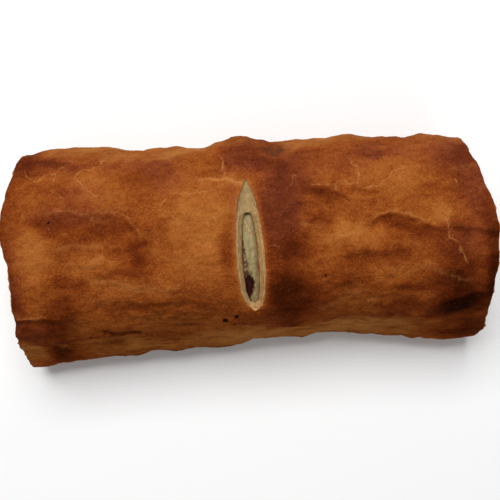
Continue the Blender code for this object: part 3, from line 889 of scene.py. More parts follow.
def skin_normals(share, angle):
    """Direction out of the plain crust."""
    step = 1e-3               # both of the angle, in radians, and of the share
    round_it = crust_places(share, angle + step) - crust_places(share, angle - step)
    along_it = crust_places(share + step, angle) - crust_places(share - step, angle)
    normal = np.cross(round_it, along_it)
    return normal / np.maximum(np.linalg.norm(normal, axis=1), TINY)[:, None]


def open_cut(places, sign, middle, half_width):
    """Move points beside the cut away from its line."""
    x = places[:, 0]
    near = np.clip(1 - np.abs(x) / CUT_SPREAD, 0.0, 1.0)
    return x + ease(near) * middle + sign * near * half_width


def distance_round(places, spots, x, y):
    """Distance of every place from the one on the upper crust that lies at x and y on the plan."""
    on_plan = np.hypot(spots[:, 0] - x, spots[:, 1] - y)
    middle = places[np.argmin(on_plan + np.where(places[:, 2] < WAIST_HEIGHT, FAR_OFF, 0.0))]
    return (np.linalg.norm(places - middle, axis=1) + on_plan) / 2


def skin_relief(places, spots, sizes):
    """Height of the skin's wrinkles, blisters, folds and pits."""
    wrinkle = sizes.wrinkle_height / MM
    blister = sizes.blister_height / MM
    folds, hollow, crest = fold_marks(spots)
    billows = np.abs(fractal(places, *BILLOWS)) - BILLOW_LEVEL
    height = folds + wrinkle * (SWELL_SHARE * fractal(places, *SWELLS) - BILLOW_SHARE * billows)
    height += blister * ease(cells(places, *BLISTERS) / BLISTER_EDGE)
    height += blister * FINE_SHARE * fractal(places, *FINE_WRINKLES)
    level_spots = plan_places(places)
    for x, y, radius, depth in PITS:
        distance = distance_round(places, level_spots, x, y) / radius
        height -= PIT_DEPTH * depth * radius * np.exp(-(distance / PIT_WIDTH) ** 2)
        height += PIT_RIM_HEIGHT * depth * np.exp(-(distance - PIT_RIM_PLACE) ** 2)
    return height, hollow, crest


def side_relief(places):
    """Height of the ripples and the layers' edges on the sides, mostly on the near one."""
    _, y, z = places.T
    shown = fade(z, *SIDE_TOP) * fade(z, *SIDE_FOOT) * fade(y, *SIDE_BACK)
    layers = np.sin(z * LAYER_TURN + LAYER_WAVE * fractal(places, *SIDE_LAYERS))
    return shown * (RIPPLE_HEIGHT * fractal(places, *SIDE_RIPPLES) + LAYER_HEIGHT * layers - SIDE_DRAW)


def crust_points(piece, angles):
    """What is known of every point of the crust before it gets its place."""
    share, row, depth, zone, side = (read_marks(piece, name) for name in TUBE_MARKS)
    row = row.astype(int)
    middle, rim, hole, knee, open_part = (values[row] for values in cut_walls(angles))
    sign = np.where(side != 0, side, np.sign(np.where(np.abs(share) < SAME_SHARE, 0, share)))
    return SimpleNamespace(share=share, row=row, depth=depth, zone=zone, side=side, angle=angles[row],
                           end_share=np.where(share < 0, -1.0, 1.0), sign=sign, middle=middle, rim=rim,
                           hole=hole, knee=knee, open_part=open_part)


def form_skin(at, sizes):
    """The skin with its cut and its relief. What its marks need is kept with its points."""
    spread = np.where(at.zone == END, at.end_share, crowded_shares(at.share, LENGTH_STEPS, crust_density))
    places = crust_places(spread, at.angle)
    normals = skin_normals(spread, at.angle)
    upper = np.sin(at.angle) > 0
    opened = open_cut(places, at.sign, at.middle, at.rim)
    places[:, 0] = np.where(upper & (at.zone == SKIN), opened, places[:, 0])
    at.spots = plan_places(places)
    offset = wander(places, *COARSE_WANDER) + FINE_WANDER_SHARE * wander(places, *FINE_WANDER)
    at.warped = at.spots + LINE_WANDER * offset
    # at.hollow carries the painted shade below the crests, at.crest the painted highlight along them
    height, at.hollow, at.crest = skin_relief(places, at.warped, sizes)
    at.edge = np.abs(places[:, 0] - at.middle) - at.rim
    at.by_cut = upper & (at.rim > 0) & (at.edge < CUT_NEAR)
    height += np.where(at.by_cut, RIM_RAISE * np.exp(-(at.edge / RIM_CURL) ** 2), 0.0)
    height *= np.where(at.by_cut, RIM_RELIEF + (1 - RIM_RELIEF) * ease(at.edge / RIM_EVEN), 1.0)
    height *= fade(places[:, 2], *RELIEF_FOOT)
    moved = places + normals * (height + side_relief(places))[:, None]
    moved[:, 2] = np.maximum(moved[:, 2], 0.0)
    return moved


def skin_rims(at, moved, count):
    """Rings of the skin's places, one for each row, that the ends and the walls of the cut start from."""
    skin = at.zone == SKIN
    on_cut = skin & (np.abs(at.share) < SAME_SHARE)
    rims = {}
    for name, wanted in (("left end", skin & (at.share < SAME_SHARE - 1)),
                         ("right end", skin & (at.share > 1 - SAME_SHARE)),
                         ("cut left", skin & (at.side < 0)),
                         ("cut right", skin & (at.side > 0)),
                         ("cut tip", on_cut & (at.side == 0))):
        rims[name] = np.zeros((count, 3))
        rims[name][at.row[wanted]] = moved[wanted]
    tip = rims["cut tip"]
    rims["cut middle"] = np.where(tip[:, 2:] > 0, tip, (rims["cut left"] + rims["cut right"]) / 2)
    return rims


def form_ends(at, rims):
    """The cut faces of both ends, from the skin to the tunnel."""
    inner = tunnel_places(at.end_share, at.angle)
    outer = np.where(at.end_share[:, None] < 0, rims["left end"][at.row], rims["right end"][at.row])
    part = np.clip(at.depth, 0, 1)
    face = outer + (inner - outer) * part[:, None]
    layers = np.sin(at.depth * END_LAYERS * 2 * math.pi + END_WAVINESS * fractal(face, *END_WAVES))
    flakes = (FLAKE_HEIGHT + FLAKE_VARIATION * fractal(face, *END_FLAKES)) * layers
    flakes += END_ROUGHNESS * fractal(face, *END_GRAIN)
    outside, inside = END_FADES
    shown = ease(at.depth / outside) * ease((1 - at.depth) / inside)
    face[:, 0] += at.end_share * (flakes * shown + END_BULGE * np.sin(math.pi * part))
    return face


def form_tunnel(at, below_cut):
    """The wall of the tunnel, opened below the cut."""
    crowd = np.copysign(np.abs(at.share) ** TUNNEL_CROWDING, at.share)
    tube = tunnel_places(crowd, at.angle)
    tube[:, 0] = np.where(below_cut, open_cut(tube, at.sign, at.middle, at.bottom), tube[:, 0])
    tube[:, 2] = np.where(below_cut & (np.abs(at.share) < SAME_SHARE), at.bottom_z, tube[:, 2])
    return tube


def form_walls(at, rims):
    """The walls of the cut, which slope from its rim to a knee and then fall to the meat."""
    knee_place = 1 - (1 - KNEE_PLACE) * at.open_part
    down = np.clip(at.depth / knee_place, 0, 1)
    at.fall = np.clip((at.depth - knee_place) / np.maximum(1 - knee_place, TINY), 0, 1)
    rim_ring = np.where(at.side[:, None] < 0, rims["cut left"][at.row], rims["cut right"][at.row])
    rim_ring = np.where(at.side[:, None] == 0, rims["cut tip"][at.row], rim_ring)
    rim_half = np.where(at.side == 0, 0.0, np.abs(rim_ring[:, 0] - at.middle))
    half = rim_half + (at.hole - rim_half) * down ** SLOPE_CURVE
    half = np.where(at.depth > knee_place, at.hole + (at.bottom - at.hole) * at.fall, half)
    wall = np.stack([at.middle + at.side * half, rim_ring[:, 1], rim_ring[:, 2]], axis=1)
    wall[:, 1] += (at.roof[:, 1] - wall[:, 1]) * ease(at.depth)
    closed_curve, open_curve = WALL_CURVES
    wall[:, 2] += (at.knee_z - wall[:, 2]) * down ** (closed_curve + open_curve * at.open_part)
    wall[:, 2] += (at.bottom_z - at.knee_z) * at.fall
    grooves = GROOVE_DEPTH * np.sin(at.depth * GROOVE_TURN + fractal(wall, *WALL_WAVES))
    grooves *= ease(at.depth / GROOVE_FADE) * ease((1 - at.depth) / GROOVE_FADE)
    wall[:, 0] += np.where(at.hole > GROOVE_HOLE, at.side * grooves, 0.0)
    return wall


def form_crust(piece, angles, sizes):
    """Give every point of the crust its place, and find what its marks need."""
    at = crust_points(piece, angles)
    places = form_skin(at, sizes)
    rims = skin_rims(at, places, len(angles))
    widest = max(half_width for _, half_width in CUT_HOLE)
    at.bottom = at.hole * (1 - np.where(at.side > 0, LEAN_RIGHT, LEAN_LEFT) / widest)
    at.roof = tunnel_places(np.zeros(len(angles)), angles)[at.row]
    at.knee_z = rims["cut middle"][at.row, 2] - at.knee
    at.bottom_z = at.knee_z + (at.roof[:, 2] - at.knee_z) * at.open_part
    below_cut = rows_between(angles, CUT_HOLE)[at.row]
    for zone, formed in ((END, form_ends(at, rims)), (TUNNEL, form_tunnel(at, below_cut)),
                         (WALL, form_walls(at, rims))):
        places = np.where((at.zone == zone)[:, None], formed, places)
    return places, at


# ---------------------------------------------------------------------------
# Crust: its marks
# ---------------------------------------------------------------------------
# Browning goes from 0 for the palest skin to 1 for burnt skin; it also carries painted shade below the folds
# and in some of the darker clouds
BAKE = 0.49                   # browning of the plain skin
HOLLOW_SHADE_BAKE = 0.2             # painted shade, with some browning, added in the hollows below the folds
SPECK_BAKE = 0.2              # added round the burnt specks
END_BAKE = 0.06               # added near the ends
END_PART = (70.0, 5.0)        # (place along X, length over which it grows)
RIM_BAKE = -0.16              # added at the rim of the cut
RIM_BAKE_WIDTH = 0.9

# The plan doesn't reach the lower part of the sides
NEAR_SIDE_TOP = 15.0
FAR_SIDE_TOP = 25.0
SIDE_BLEND = 9.0              # height over which the marks of the plan fade out
SIDE_BAKE = 0.5               # browning there, and how far it varies
SIDE_VARIATION = 0.3
SIDE_CLOUDS = (16.0, 3, 12.4, (1.8, 1.0, 1.0))
BASE_BAKE = 0.42              # browning of the underside
BASE_PART = (6.0, -5.0)       # (height, length over which it grows)

# How pale the painted highlight along the crests of the folds is
CREST_HIGHLIGHT = 0.75
PIT_SPREAD = 0.5              # how fast the painted shade of a steam hole fades, for each of its radii

# The dull stretch below the lip's seam: how dull it is, and (start, length) of where it fades in
DULLNESS = 0.65
DULL_EDGE = (0.0, 1.5)        # below the seam
DULL_RIGHT = (56.0, -14.0)
DULL_LEFT = (-52.0, 8.0)
DULL_FOOT = (1.0, 5.0)

# The pale skin along the far edge
TAN = 0.8
TAN_EDGE = (28.6, 2.4)
TAN_WANDER = 0.5              # how far that edge wanders
TAN_BREAK = 0.8               # how much of it is missing at its breaks
SCORCH_FOOT = (29.0, -5.0)    # (height, length) over which the burnt spot ends on the far side

# Toasting of the cut pastry, from 0 for pale crumb, with painted shade on the walls of the hole
END_TOAST = 0.22
END_RIND = (0.6, 0.13, 1.5)   # more at the skin: (amount, depth, how firm its edge is)
END_MOIST = 0.12              # more at the meat
MOIST_PART = (0.75, 0.2)
TUNNEL_TOAST = 0.3
WALL_TOAST = 0.12
WALL_RIND = (0.5, 0.05)       # more at the skin: (amount, depth)
NEAR_TOAST = 0.1              # more toward the near tip of the cut
NEAR_PART = (-2.0, -14.0)
RIGHT_WALL_SHADE = 0.13            # painted shade on the right wall
HOLE_WALL_SHADE = (0.8, 0.3)       # painted shade on the steep walls of the hole, right and left
FAR_TIP_SHADE = 0.5                # how much painted shade darkens and greys the far tip of the cut
FAR_TIP_SHADE_PART = (1.0, 12.0)


def mark_crust(piece, places, at):
    """Marks that the crust's material reads: browning, splits, cut crumb and so on."""
    spots, warped, depth = at.spots, at.warped, at.depth
    height = places[:, 2]
    drift = wander(places, *CLOUD_DRIFT)
    clouded = spots + CLOUD_WANDER * drift
    hidden_side = fade(height, np.where(places[:, 1] > 0, FAR_SIDE_TOP, NEAR_SIDE_TOP), -SIDE_BLEND)

    char = marks_near(warped, BURNT)
    browning_and_shade = BAKE + CLOUD_STRENGTH * cloud_sum(clouded, CLOUDS) + HOLLOW_SHADE_BAKE * at.hollow
    browning_and_shade += (SIDE_BAKE + SIDE_VARIATION * fractal(places, *SIDE_CLOUDS) - browning_and_shade) * hidden_side
    browning_and_shade += SPECK_BAKE * char + END_BAKE * fade(np.abs(spots[:, 0]), *END_PART)
    from_rim = np.where(at.by_cut, at.edge, FAR_OFF)
    browning_and_shade += RIM_BAKE * np.exp(-(from_rim / RIM_BAKE_WIDTH) ** 2)
    below = fade(height, *BASE_PART)
    browning_and_shade = browning_and_shade * (1 - below) + BASE_BAKE * below

    crack, crack_across = line_marks(warped, CRACKS)
    seam_shadow, seam_shadow_across = line_marks(warped, SHADOW_SEAMS)
    crown = np.where((at.zone == SKIN)[:, None], places, [0.0, 0.0, -FAR_OFF])
    pale_chips_and_crest_highlight = CREST_HIGHLIGHT * at.crest
    for x, y, radius, strength in CHIPS:
        distance = distance_round(crown, spots, x, y)
        pale_chips_and_crest_highlight = np.maximum(pale_chips_and_crest_highlight, strength * np.exp(-(distance / radius) ** 2))
    # Painted shade in the steam holes
    pit_shade = np.zeros(len(places))
    for x, y, radius, darkness in PITS:
        distance = distance_round(crown, spots, x, y)
        pit_shade = np.maximum(pit_shade, darkness ** 0.5 * (1 - PIT_SPREAD * distance / radius))

    dull = DULLNESS * fade(reach_at(LIP_SEAM, warped[:, 0]) - warped[:, 1], *DULL_EDGE)
    dull *= fade(spots[:, 0], *DULL_RIGHT) * fade(clouded[:, 0], *DULL_LEFT) * fade(height, *DULL_FOOT)
    dull = np.maximum(dull, cloud_sum(clouded, EARTHY))
    reddish = np.minimum(cloud_sum(clouded, REDDISH), 1.0) * (1 - hidden_side)
    tan = TAN * fade(spots[:, 1] + TAN_WANDER * drift[:, 0], *TAN_EDGE)
    tan *= 1 - TAN_BREAK * marks_near(spots, TAN_BREAKS)
    tan = np.maximum(tan, cloud_sum(clouded, TAN_PATCHES))
    scorch = cloud_sum(clouded, SCORCH) * (1 - fade(height, *SCORCH_FOOT))

    rind, rind_depth, firmness = END_RIND
    on_end = END_TOAST + rind * np.exp(-(depth / rind_depth) ** firmness)
    on_end += END_MOIST * fade(depth, *MOIST_PART)
    rind, rind_depth = WALL_RIND
    right, left = HOLE_WALL_SHADE
    wall_toast_and_shade = WALL_TOAST + NEAR_TOAST * fade(spots[:, 1], *NEAR_PART) + rind * np.exp(-depth / rind_depth)
    # Painted shade on the right wall and on the steep walls of the hole
    wall_toast_and_shade += np.where(at.side > 0, RIGHT_WALL_SHADE, 0.0)
    wall_toast_and_shade += np.where(at.side > 0, right, left) * at.fall * at.open_part
    toast_and_shade = np.where(at.zone == END, on_end, np.where(at.zone == WALL, wall_toast_and_shade, TUNNEL_TOAST))
    far_tip_shade = np.where(at.zone == WALL, FAR_TIP_SHADE * fade(spots[:, 1], *FAR_TIP_SHADE_PART), 0.0)

    marks = {"browning_and_shade": browning_and_shade, "pale_chips_and_crest_highlight": pale_chips_and_crest_highlight, "pit_shade": pit_shade, "dull": dull, "scorch": scorch, "tan": tan,
             "crumb": at.zone != SKIN, "toast_and_shade": toast_and_shade, "layer": depth, "crack": crack,
             "crack_across": crack_across, "seam_shadow": seam_shadow, "seam_shadow_across": seam_shadow_across, "char": char,
             "sheen_streak": marks_near(warped, SHEEN_STREAKS), "reddish": reddish, "far_tip_shade": far_tip_shade}
    for name, values in marks.items():
        write_marks(piece, name, values)


def close_piece(piece):
    """Join the points that meet, turn all faces outward, smooth the shading and check that it is closed."""
    edit(piece)
    bpy.ops.mesh.select_all(action="SELECT")
    bpy.ops.mesh.remove_doubles(threshold=WELD)
    bpy.ops.mesh.select_all(action="SELECT")
    bpy.ops.mesh.normals_make_consistent(inside=False)
    shape = bmesh.from_edit_mesh(piece.data)
    open_edges = sum(1 for line in shape.edges if not line.is_manifold)
    faces = sum(len(face.verts) - 2 for face in shape.faces)
    leave_edit()
    bpy.ops.object.shade_smooth_by_angle(angle=math.radians(SHARP_DEGREES))
    for name in TUBE_MARKS:
        piece.data.attributes.remove(piece.data.attributes[name])
    print(piece.name, "triangles:", faces, "open edges:", open_edges)
    if open_edges:
        raise RuntimeError(f"{piece.name} has {open_edges} open edges")


# ---------------------------------------------------------------------------
# Meat
# ---------------------------------------------------------------------------
MEAT_HALF_LENGTH = 70.0       # to the rims of its ends
MEAT_DOME = 2.8               # how far the middle of an end stands out from its rim
DOME_CURVE = 2.2
DOME_STEPS = 30
MEAT_LENGTH_STEPS = 2000      # fine steps along the meat
UNDER_CUT_DENSITY = 9.0       # extra density of faces below the cut
UNDER_CUT_CROWD = 0.06        # share of the length over which that fades

SHOWN_PART = (7.0, -2.0)      # (distance from the middle of the roll, length) where the meat is shown
END_SHOWN = 0.08              # share of an end's radius over which its grain grows
END_COOKED = 0.06             # and over which it gets its colour
HIDDEN_SINK = 0.15            # how far the hidden meat is drawn in
GRAIN_WARP = (2.5, (71.0, 83.0, 97.0))
GRAIN_WANDER = 1.2
GRAIN_CELLS = (2.6, 2.0)
GRAIN_EDGE = 0.5
GRAIN_SHARE = 0.35
GRAIN_LEVEL = 0.15
LUMPS = (3.0, 4, 5.0)
LUMP_SHARES = (0.25, 0.75)    # below the cut, and how much more at the ends

MEAT_SWELL = 2.8              # how far the meat has swollen up into the cut
SWELL_WIDTH = 4.2             # half the width of that swelling
SWELL_SHIFT = 0.3             # how far it lies to the left of the cut's middle
SWELL_FLATNESS = 1.35
SMOOTH_MIDDLE = 4.0           # place along Y where the shown meat is smoothest
SMOOTH_PART = (5.6, -3.0)     # (distance from there, length) where it is
SMOOTH_START = -3.0           # place along Y where it starts
SMOOTH_SHARE = 0.6            # share of the lumps that it loses

CAVITY = (-0.7, -12.3, 1.6, 3.6, 1.6)            # hollow full of juice: x, y, half-length, half-width, depth
CAVITY_WANDER = (1.6, (11.0, 17.0), 2)
CAVITY_RAGGED = 0.6
CAVITY_TAPER = 0.35           # how much narrower it is at its near end
# (distance from its middle in shares of its size, share over which it grows)
JUICE_PART = (1.2, -0.35)
SUNK_PART = (1.3, -0.9)
STAIN_PART = (1.8, -0.7)
STAIN_RING = 0.8              # how strongly the meat is stained round the juice

# The stained strip along the left wall of the hole
STAIN_LEFT = -0.9             # its edge along X at the far end
STAIN_WIDER = 1.2             # and how far it widens to the near end
STAIN_WIDENS = (4.0, -12.0)
STAIN_EDGE = 1.1
STAIN_FAR_END = (6.0, -4.0)
FLECKS = [(0.7, 0.9, [(-1.5, 8), (-0.6, 5.5), (0.9, 2)])]      # (half the width, strength, points)


def meat_density(share):
    """How closely the meat's faces stand along its length."""
    return 1 + UNDER_CUT_DENSITY * np.exp(-(share / UNDER_CUT_CROWD) ** 4)


def form_meat(piece, around, sizes):
    """Give every point of the core of meat its place and its marks."""
    share, row, depth, zone, _ = (read_marks(piece, name) for name in TUBE_MARKS)
    angle = 2 * math.pi * (row / around + BOTTOM_TURN)
    on_end = zone == END
    radius = np.where(on_end, 1 - depth, 1.0)
    rise = MEAT_DOME * (1 - radius ** DOME_CURVE)
    along = crowded_shares(share, MEAT_LENGTH_STEPS, meat_density) * MEAT_HALF_LENGTH
    x = np.where(on_end, np.copysign(MEAT_HALF_LENGTH + rise, share), along)
    y = MEAT_HALF_WIDTH * radius * power(np.cos(angle), MEAT_FULLNESS)
    z = MEAT_MIDDLE + MEAT_HALF_HEIGHT * radius * power(np.sin(angle), MEAT_FULLNESS)
    places = np.stack([x, y, z], axis=1)
    spots = plan_places(places)
    upper = z > MEAT_MIDDLE
    level = np.zeros(len(x))
    outward = np.stack([level, y / MEAT_HALF_WIDTH ** 2, (z - MEAT_MIDDLE) / MEAT_HALF_HEIGHT ** 2], axis=1)
    outward /= np.maximum(np.linalg.norm(outward, axis=1), TINY)[:, None]
    outward = np.where(on_end[:, None], np.stack([np.sign(share), level, level], axis=1), outward)

    # The coarse grain where the meat is shown
    under_cut = fade(np.abs(spots[:, 0]), *SHOWN_PART) * upper
    shown = np.maximum(under_cut, on_end * ease(depth / END_SHOWN))
    grains = cells(places + GRAIN_WANDER * wander(places, *GRAIN_WARP), *GRAIN_CELLS)
    grains = ease(grains / GRAIN_EDGE)
    below_cut, more_at_end = LUMP_SHARES
    coarse = GRAIN_SHARE * grains - GRAIN_LEVEL
    coarse += (below_cut + more_at_end * on_end) * fractal(places, *LUMPS)
    coarse *= sizes.meat_lumps / MM
    height = shown * coarse - (1 - shown) * HIDDEN_SINK
    smooth = fade(np.abs(spots[:, 1] - SMOOTH_MIDDLE), *SMOOTH_PART) * (spots[:, 1] > SMOOTH_START)
    height -= under_cut * smooth * SMOOTH_SHARE * coarse

    # The swelling in the cut, and the hollow full of juice
    room = reach_at(CUT_HOLE, spots[:, 1]) / max(half_width for _, half_width in CUT_HOLE)
    off_middle = np.abs(x - reach_at(CUT_MIDDLE, y) + SWELL_SHIFT) / SWELL_WIDTH
    height += MEAT_SWELL * np.sqrt(room) * ease(SWELL_FLATNESS * (1 - off_middle)) * upper * (1 - on_end)
    middle_x, middle_y, half_length, half_width, sunk = CAVITY
    ragged = spots + CAVITY_RAGGED * wander(places, *CAVITY_WANDER)
    taper = 1 - CAVITY_TAPER * ease((middle_y - ragged[:, 1]) / half_width)
    away_x = (ragged[:, 0] - middle_x) / half_length / taper
    away = np.hypot(away_x, (ragged[:, 1] - middle_y) / half_width)
    height -= sunk * fade(away, *SUNK_PART) * upper
    juice = fade(away, *JUICE_PART) * upper

    edge = STAIN_LEFT + STAIN_WIDER * fade(spots[:, 1], *STAIN_WIDENS)
    stained = fade(spots[:, 0], edge, -STAIN_EDGE) * fade(spots[:, 1], *STAIN_FAR_END)
    stained = np.maximum(stained, STAIN_RING * fade(away, *STAIN_PART)) * upper * (1 - on_end)
    marks = {"juice": juice, "stained": stained, "grain": grains, "fleck": marks_near(spots, FLECKS) * upper,
             "cooked": on_end * ease(depth / END_COOKED)}
    for name, values in marks.items():
        write_marks(piece, name, values)
    return places + outward * height[:, None]


def meat_topology(sizes):
    """The core of meat as a tube with domed, closed ends."""
    piece = new_tube("meat", sizes.meat_around, sizes.meat_along)
    edit(piece)
    for sign in (1, -1):
        extrude_end(piece, sign, DOME_STEPS, marker(END))
    leave_edit()
    return piece


# ---------------------------------------------------------------------------
# Materials
# ---------------------------------------------------------------------------
PLAIN_IOR = 1.45

# Thin lines. (amount, size in mm, detail, roughness) of the noise by which they wander and break
LINE_WANDERING = (1.3, 1.2, 4.0, 0.65)
LINE_BREAKING = (1.5, 2.6, 4.0, 0.7)
LINE_BREAKS = (0.35, 1.05)    # where a line is broken, and where it is whole
LINE_CORE = 0.04              # half the width that has the line's full colour
LINE_WIDTHS = (0.16, 0.42)    # half the width over which that fades: least and most
WIDTH_GRAIN = (1.7, 2.0)
WIDTH_SPAN = (-0.2, 0.2)


class Shades:
    """One material and the nodes that are added to it."""

    def __init__(self, name, roughness, specular, ior=PLAIN_IOR):
        self.material = bpy.data.materials.new(name)
        self.material.use_nodes = True
        self.tree = self.material.node_tree
        self.shader = self.tree.nodes["Principled BSDF"]
        self.shader.inputs["Specular IOR Level"].default_value = specular
        self.shader.inputs["IOR"].default_value = ior
        self.shader.inputs["Roughness"].default_value = roughness
        place = self.tree.nodes.new("ShaderNodeTexCoord")
        self.place = place.outputs["Object"]

    def put(self, socket, value):
        """Link a node's output to a socket, or set a plain value on it."""
        if isinstance(value, bpy.types.NodeSocket):
            self.tree.links.new(value, socket)
        else:
            socket.default_value = value

    def mark(self, name):
        """A mark that is kept on the piece's points."""
        node = self.tree.nodes.new("ShaderNodeAttribute")
        node.attribute_name = name
        return node.outputs["Fac"]

    def math(self, operation, first, second=0.0, clamp=False):
        """The result of a sum, a product and the like."""
        node = self.tree.nodes.new("ShaderNodeMath")
        node.operation = operation
        node.use_clamp = clamp
        self.put(node.inputs[0], first)
        self.put(node.inputs[1], second)
        return node.outputs[0]

    def span(self, value, low, high, to_low=0.0, to_high=1.0):
        """A value between low and high, moved to another range."""
        node = self.tree.nodes.new("ShaderNodeMapRange")
        node.interpolation_type = "SMOOTHSTEP"
        for socket, amount in zip(node.inputs, (value, low, high, to_low, to_high)):
            self.put(socket, amount)
        return node.outputs[0]

    def stretched(self, stretch):
        """Places on the piece for a pattern that is stretched along an axis."""
        node = self.tree.nodes.new("ShaderNodeMapping")
        self.put(node.inputs["Vector"], self.place)
        node.inputs["Scale"].default_value = [1 / part for part in stretch]
        return node.outputs[0]

    def noise(self, size, detail=3.0, roughness=0.55, stretch=(1, 1, 1)):
        """Cloudy noise about zero, with features of about that size in millimetres."""
        node = self.tree.nodes.new("ShaderNodeTexNoise")
        self.put(node.inputs["Vector"], self.stretched(stretch))
        node.inputs["Scale"].default_value = 1 / (size * MM)
        node.inputs["Detail"].default_value = detail
        node.inputs["Roughness"].default_value = roughness
        return self.math("SUBTRACT", node.outputs["Fac"], 0.5)

    def spots(self, size):
        """Distance to the nearest of many scattered points, in shares of their spacing."""
        node = self.tree.nodes.new("ShaderNodeTexVoronoi")
        self.put(node.inputs["Vector"], self.place)
        node.inputs["Scale"].default_value = 1 / (size * MM)
        return node.outputs["Distance"]

    def add(self, first, second):
        """A sum of two values."""
        return self.math("ADD", first, second)

    def times(self, first, second, clamp=False):
        """A product of two values."""
        return self.math("MULTIPLY", first, second, clamp)

    def ragged(self, value, amount, *grain):
        """A value with an amount of noise on top of it."""
        return self.add(value, self.times(self.noise(*grain), amount))

    def patchy(self, value, grain, span):
        """A value that noise, moved to another range, breaks into patches."""
        return self.times(value, self.span(self.noise(*grain), *span))

    def mix(self, amount, first, second):
        """A colour between two others."""
        node = self.tree.nodes.new("ShaderNodeMix")
        node.data_type = "RGBA"
        self.put(node.inputs[0], amount)
        self.put(node.inputs[6], first)
        self.put(node.inputs[7], second)
        return node.outputs[2]

    def ramp(self, amount, stops):
        """Colours blended along a scale from 0 to 1."""
        node = self.tree.nodes.new("ShaderNodeValToRGB")
        self.put(node.inputs[0], amount)
        while len(node.color_ramp.elements) < len(stops):
            node.color_ramp.elements.new(1.0)
        for element, (place, shade) in zip(node.color_ramp.elements, stops):
            element.position = place
            element.color = shade
        return node.outputs[0]

    def thin_line(self, name, strength):
        """A broken, wandering line where the distance across it is nil."""
        across = self.math("ABSOLUTE", self.ragged(self.mark(name + "_across"), *LINE_WANDERING))
        width = self.span(self.noise(*WIDTH_GRAIN), *WIDTH_SPAN, *LINE_WIDTHS)
        line = self.span(across, LINE_CORE, width, 1.0, 0.0)
        broken = self.ragged(self.mark(name), *LINE_BREAKING)
        return self.times(line, self.span(broken, *LINE_BREAKS, 0.0, strength))

    def bump(self, height, distance):
        """Relief finer than the mesh, in millimetres."""
        node = self.tree.nodes.new("ShaderNodeBump")
        node.inputs["Strength"].default_value = 1.0
        node.inputs["Distance"].default_value = distance * MM
        self.put(node.inputs["Height"], height)
        self.put(self.shader.inputs["Normal"], node.outputs[0])


# (amount, size in mm, detail, roughness, stretch) of the mottling of the skin
MOTTLES = [(0.50, 7.0, 4.0, 0.7, (1.5, 1, 1)), (0.42, 1.9, 4.0, 0.7, (1.6, 1, 1)),
           (0.68, 0.5, 4.0, 0.7, (1.2, 1, 1))]
# (size in mm, detail, roughness, stretch) of other noise in the skin
FLAKY_GRAIN = (1.0, 3.0, 0.6, (6, 1.2, 0.8))
DULL_GRAIN = (4.0, 5.0, 0.7, (2.5, 1, 1))
TAN_GRAIN = (2.5, 5.0, 0.7, (2.5, 1, 1))
REDDISH_GRAIN = (3.0, 5.0, 0.7)
CHIP_GRAIN = (0.9, 3.0, 0.7)
STREAK_GRAIN = (1.4, 4.0, 0.7)
FLECK_GRAIN = (2.5, 3.0)
DUST_GRAIN = (5.0, 3.0)
SPOT_GRAIN = (1.6, 4.0, 0.7)
SPECK_GRAIN = (0.9, 3.0, 0.6, (1.6, 1, 1))
# How far apart flecks of dry skin and grains of dust are, in mm, and (where one ends, where it is gone)
FLECK_SPACING, FLECK_EDGE = 1.5, (0.08, 0.15)
DUST_SPACING, DUST_EDGE = 0.85, (0.10, 0.22)


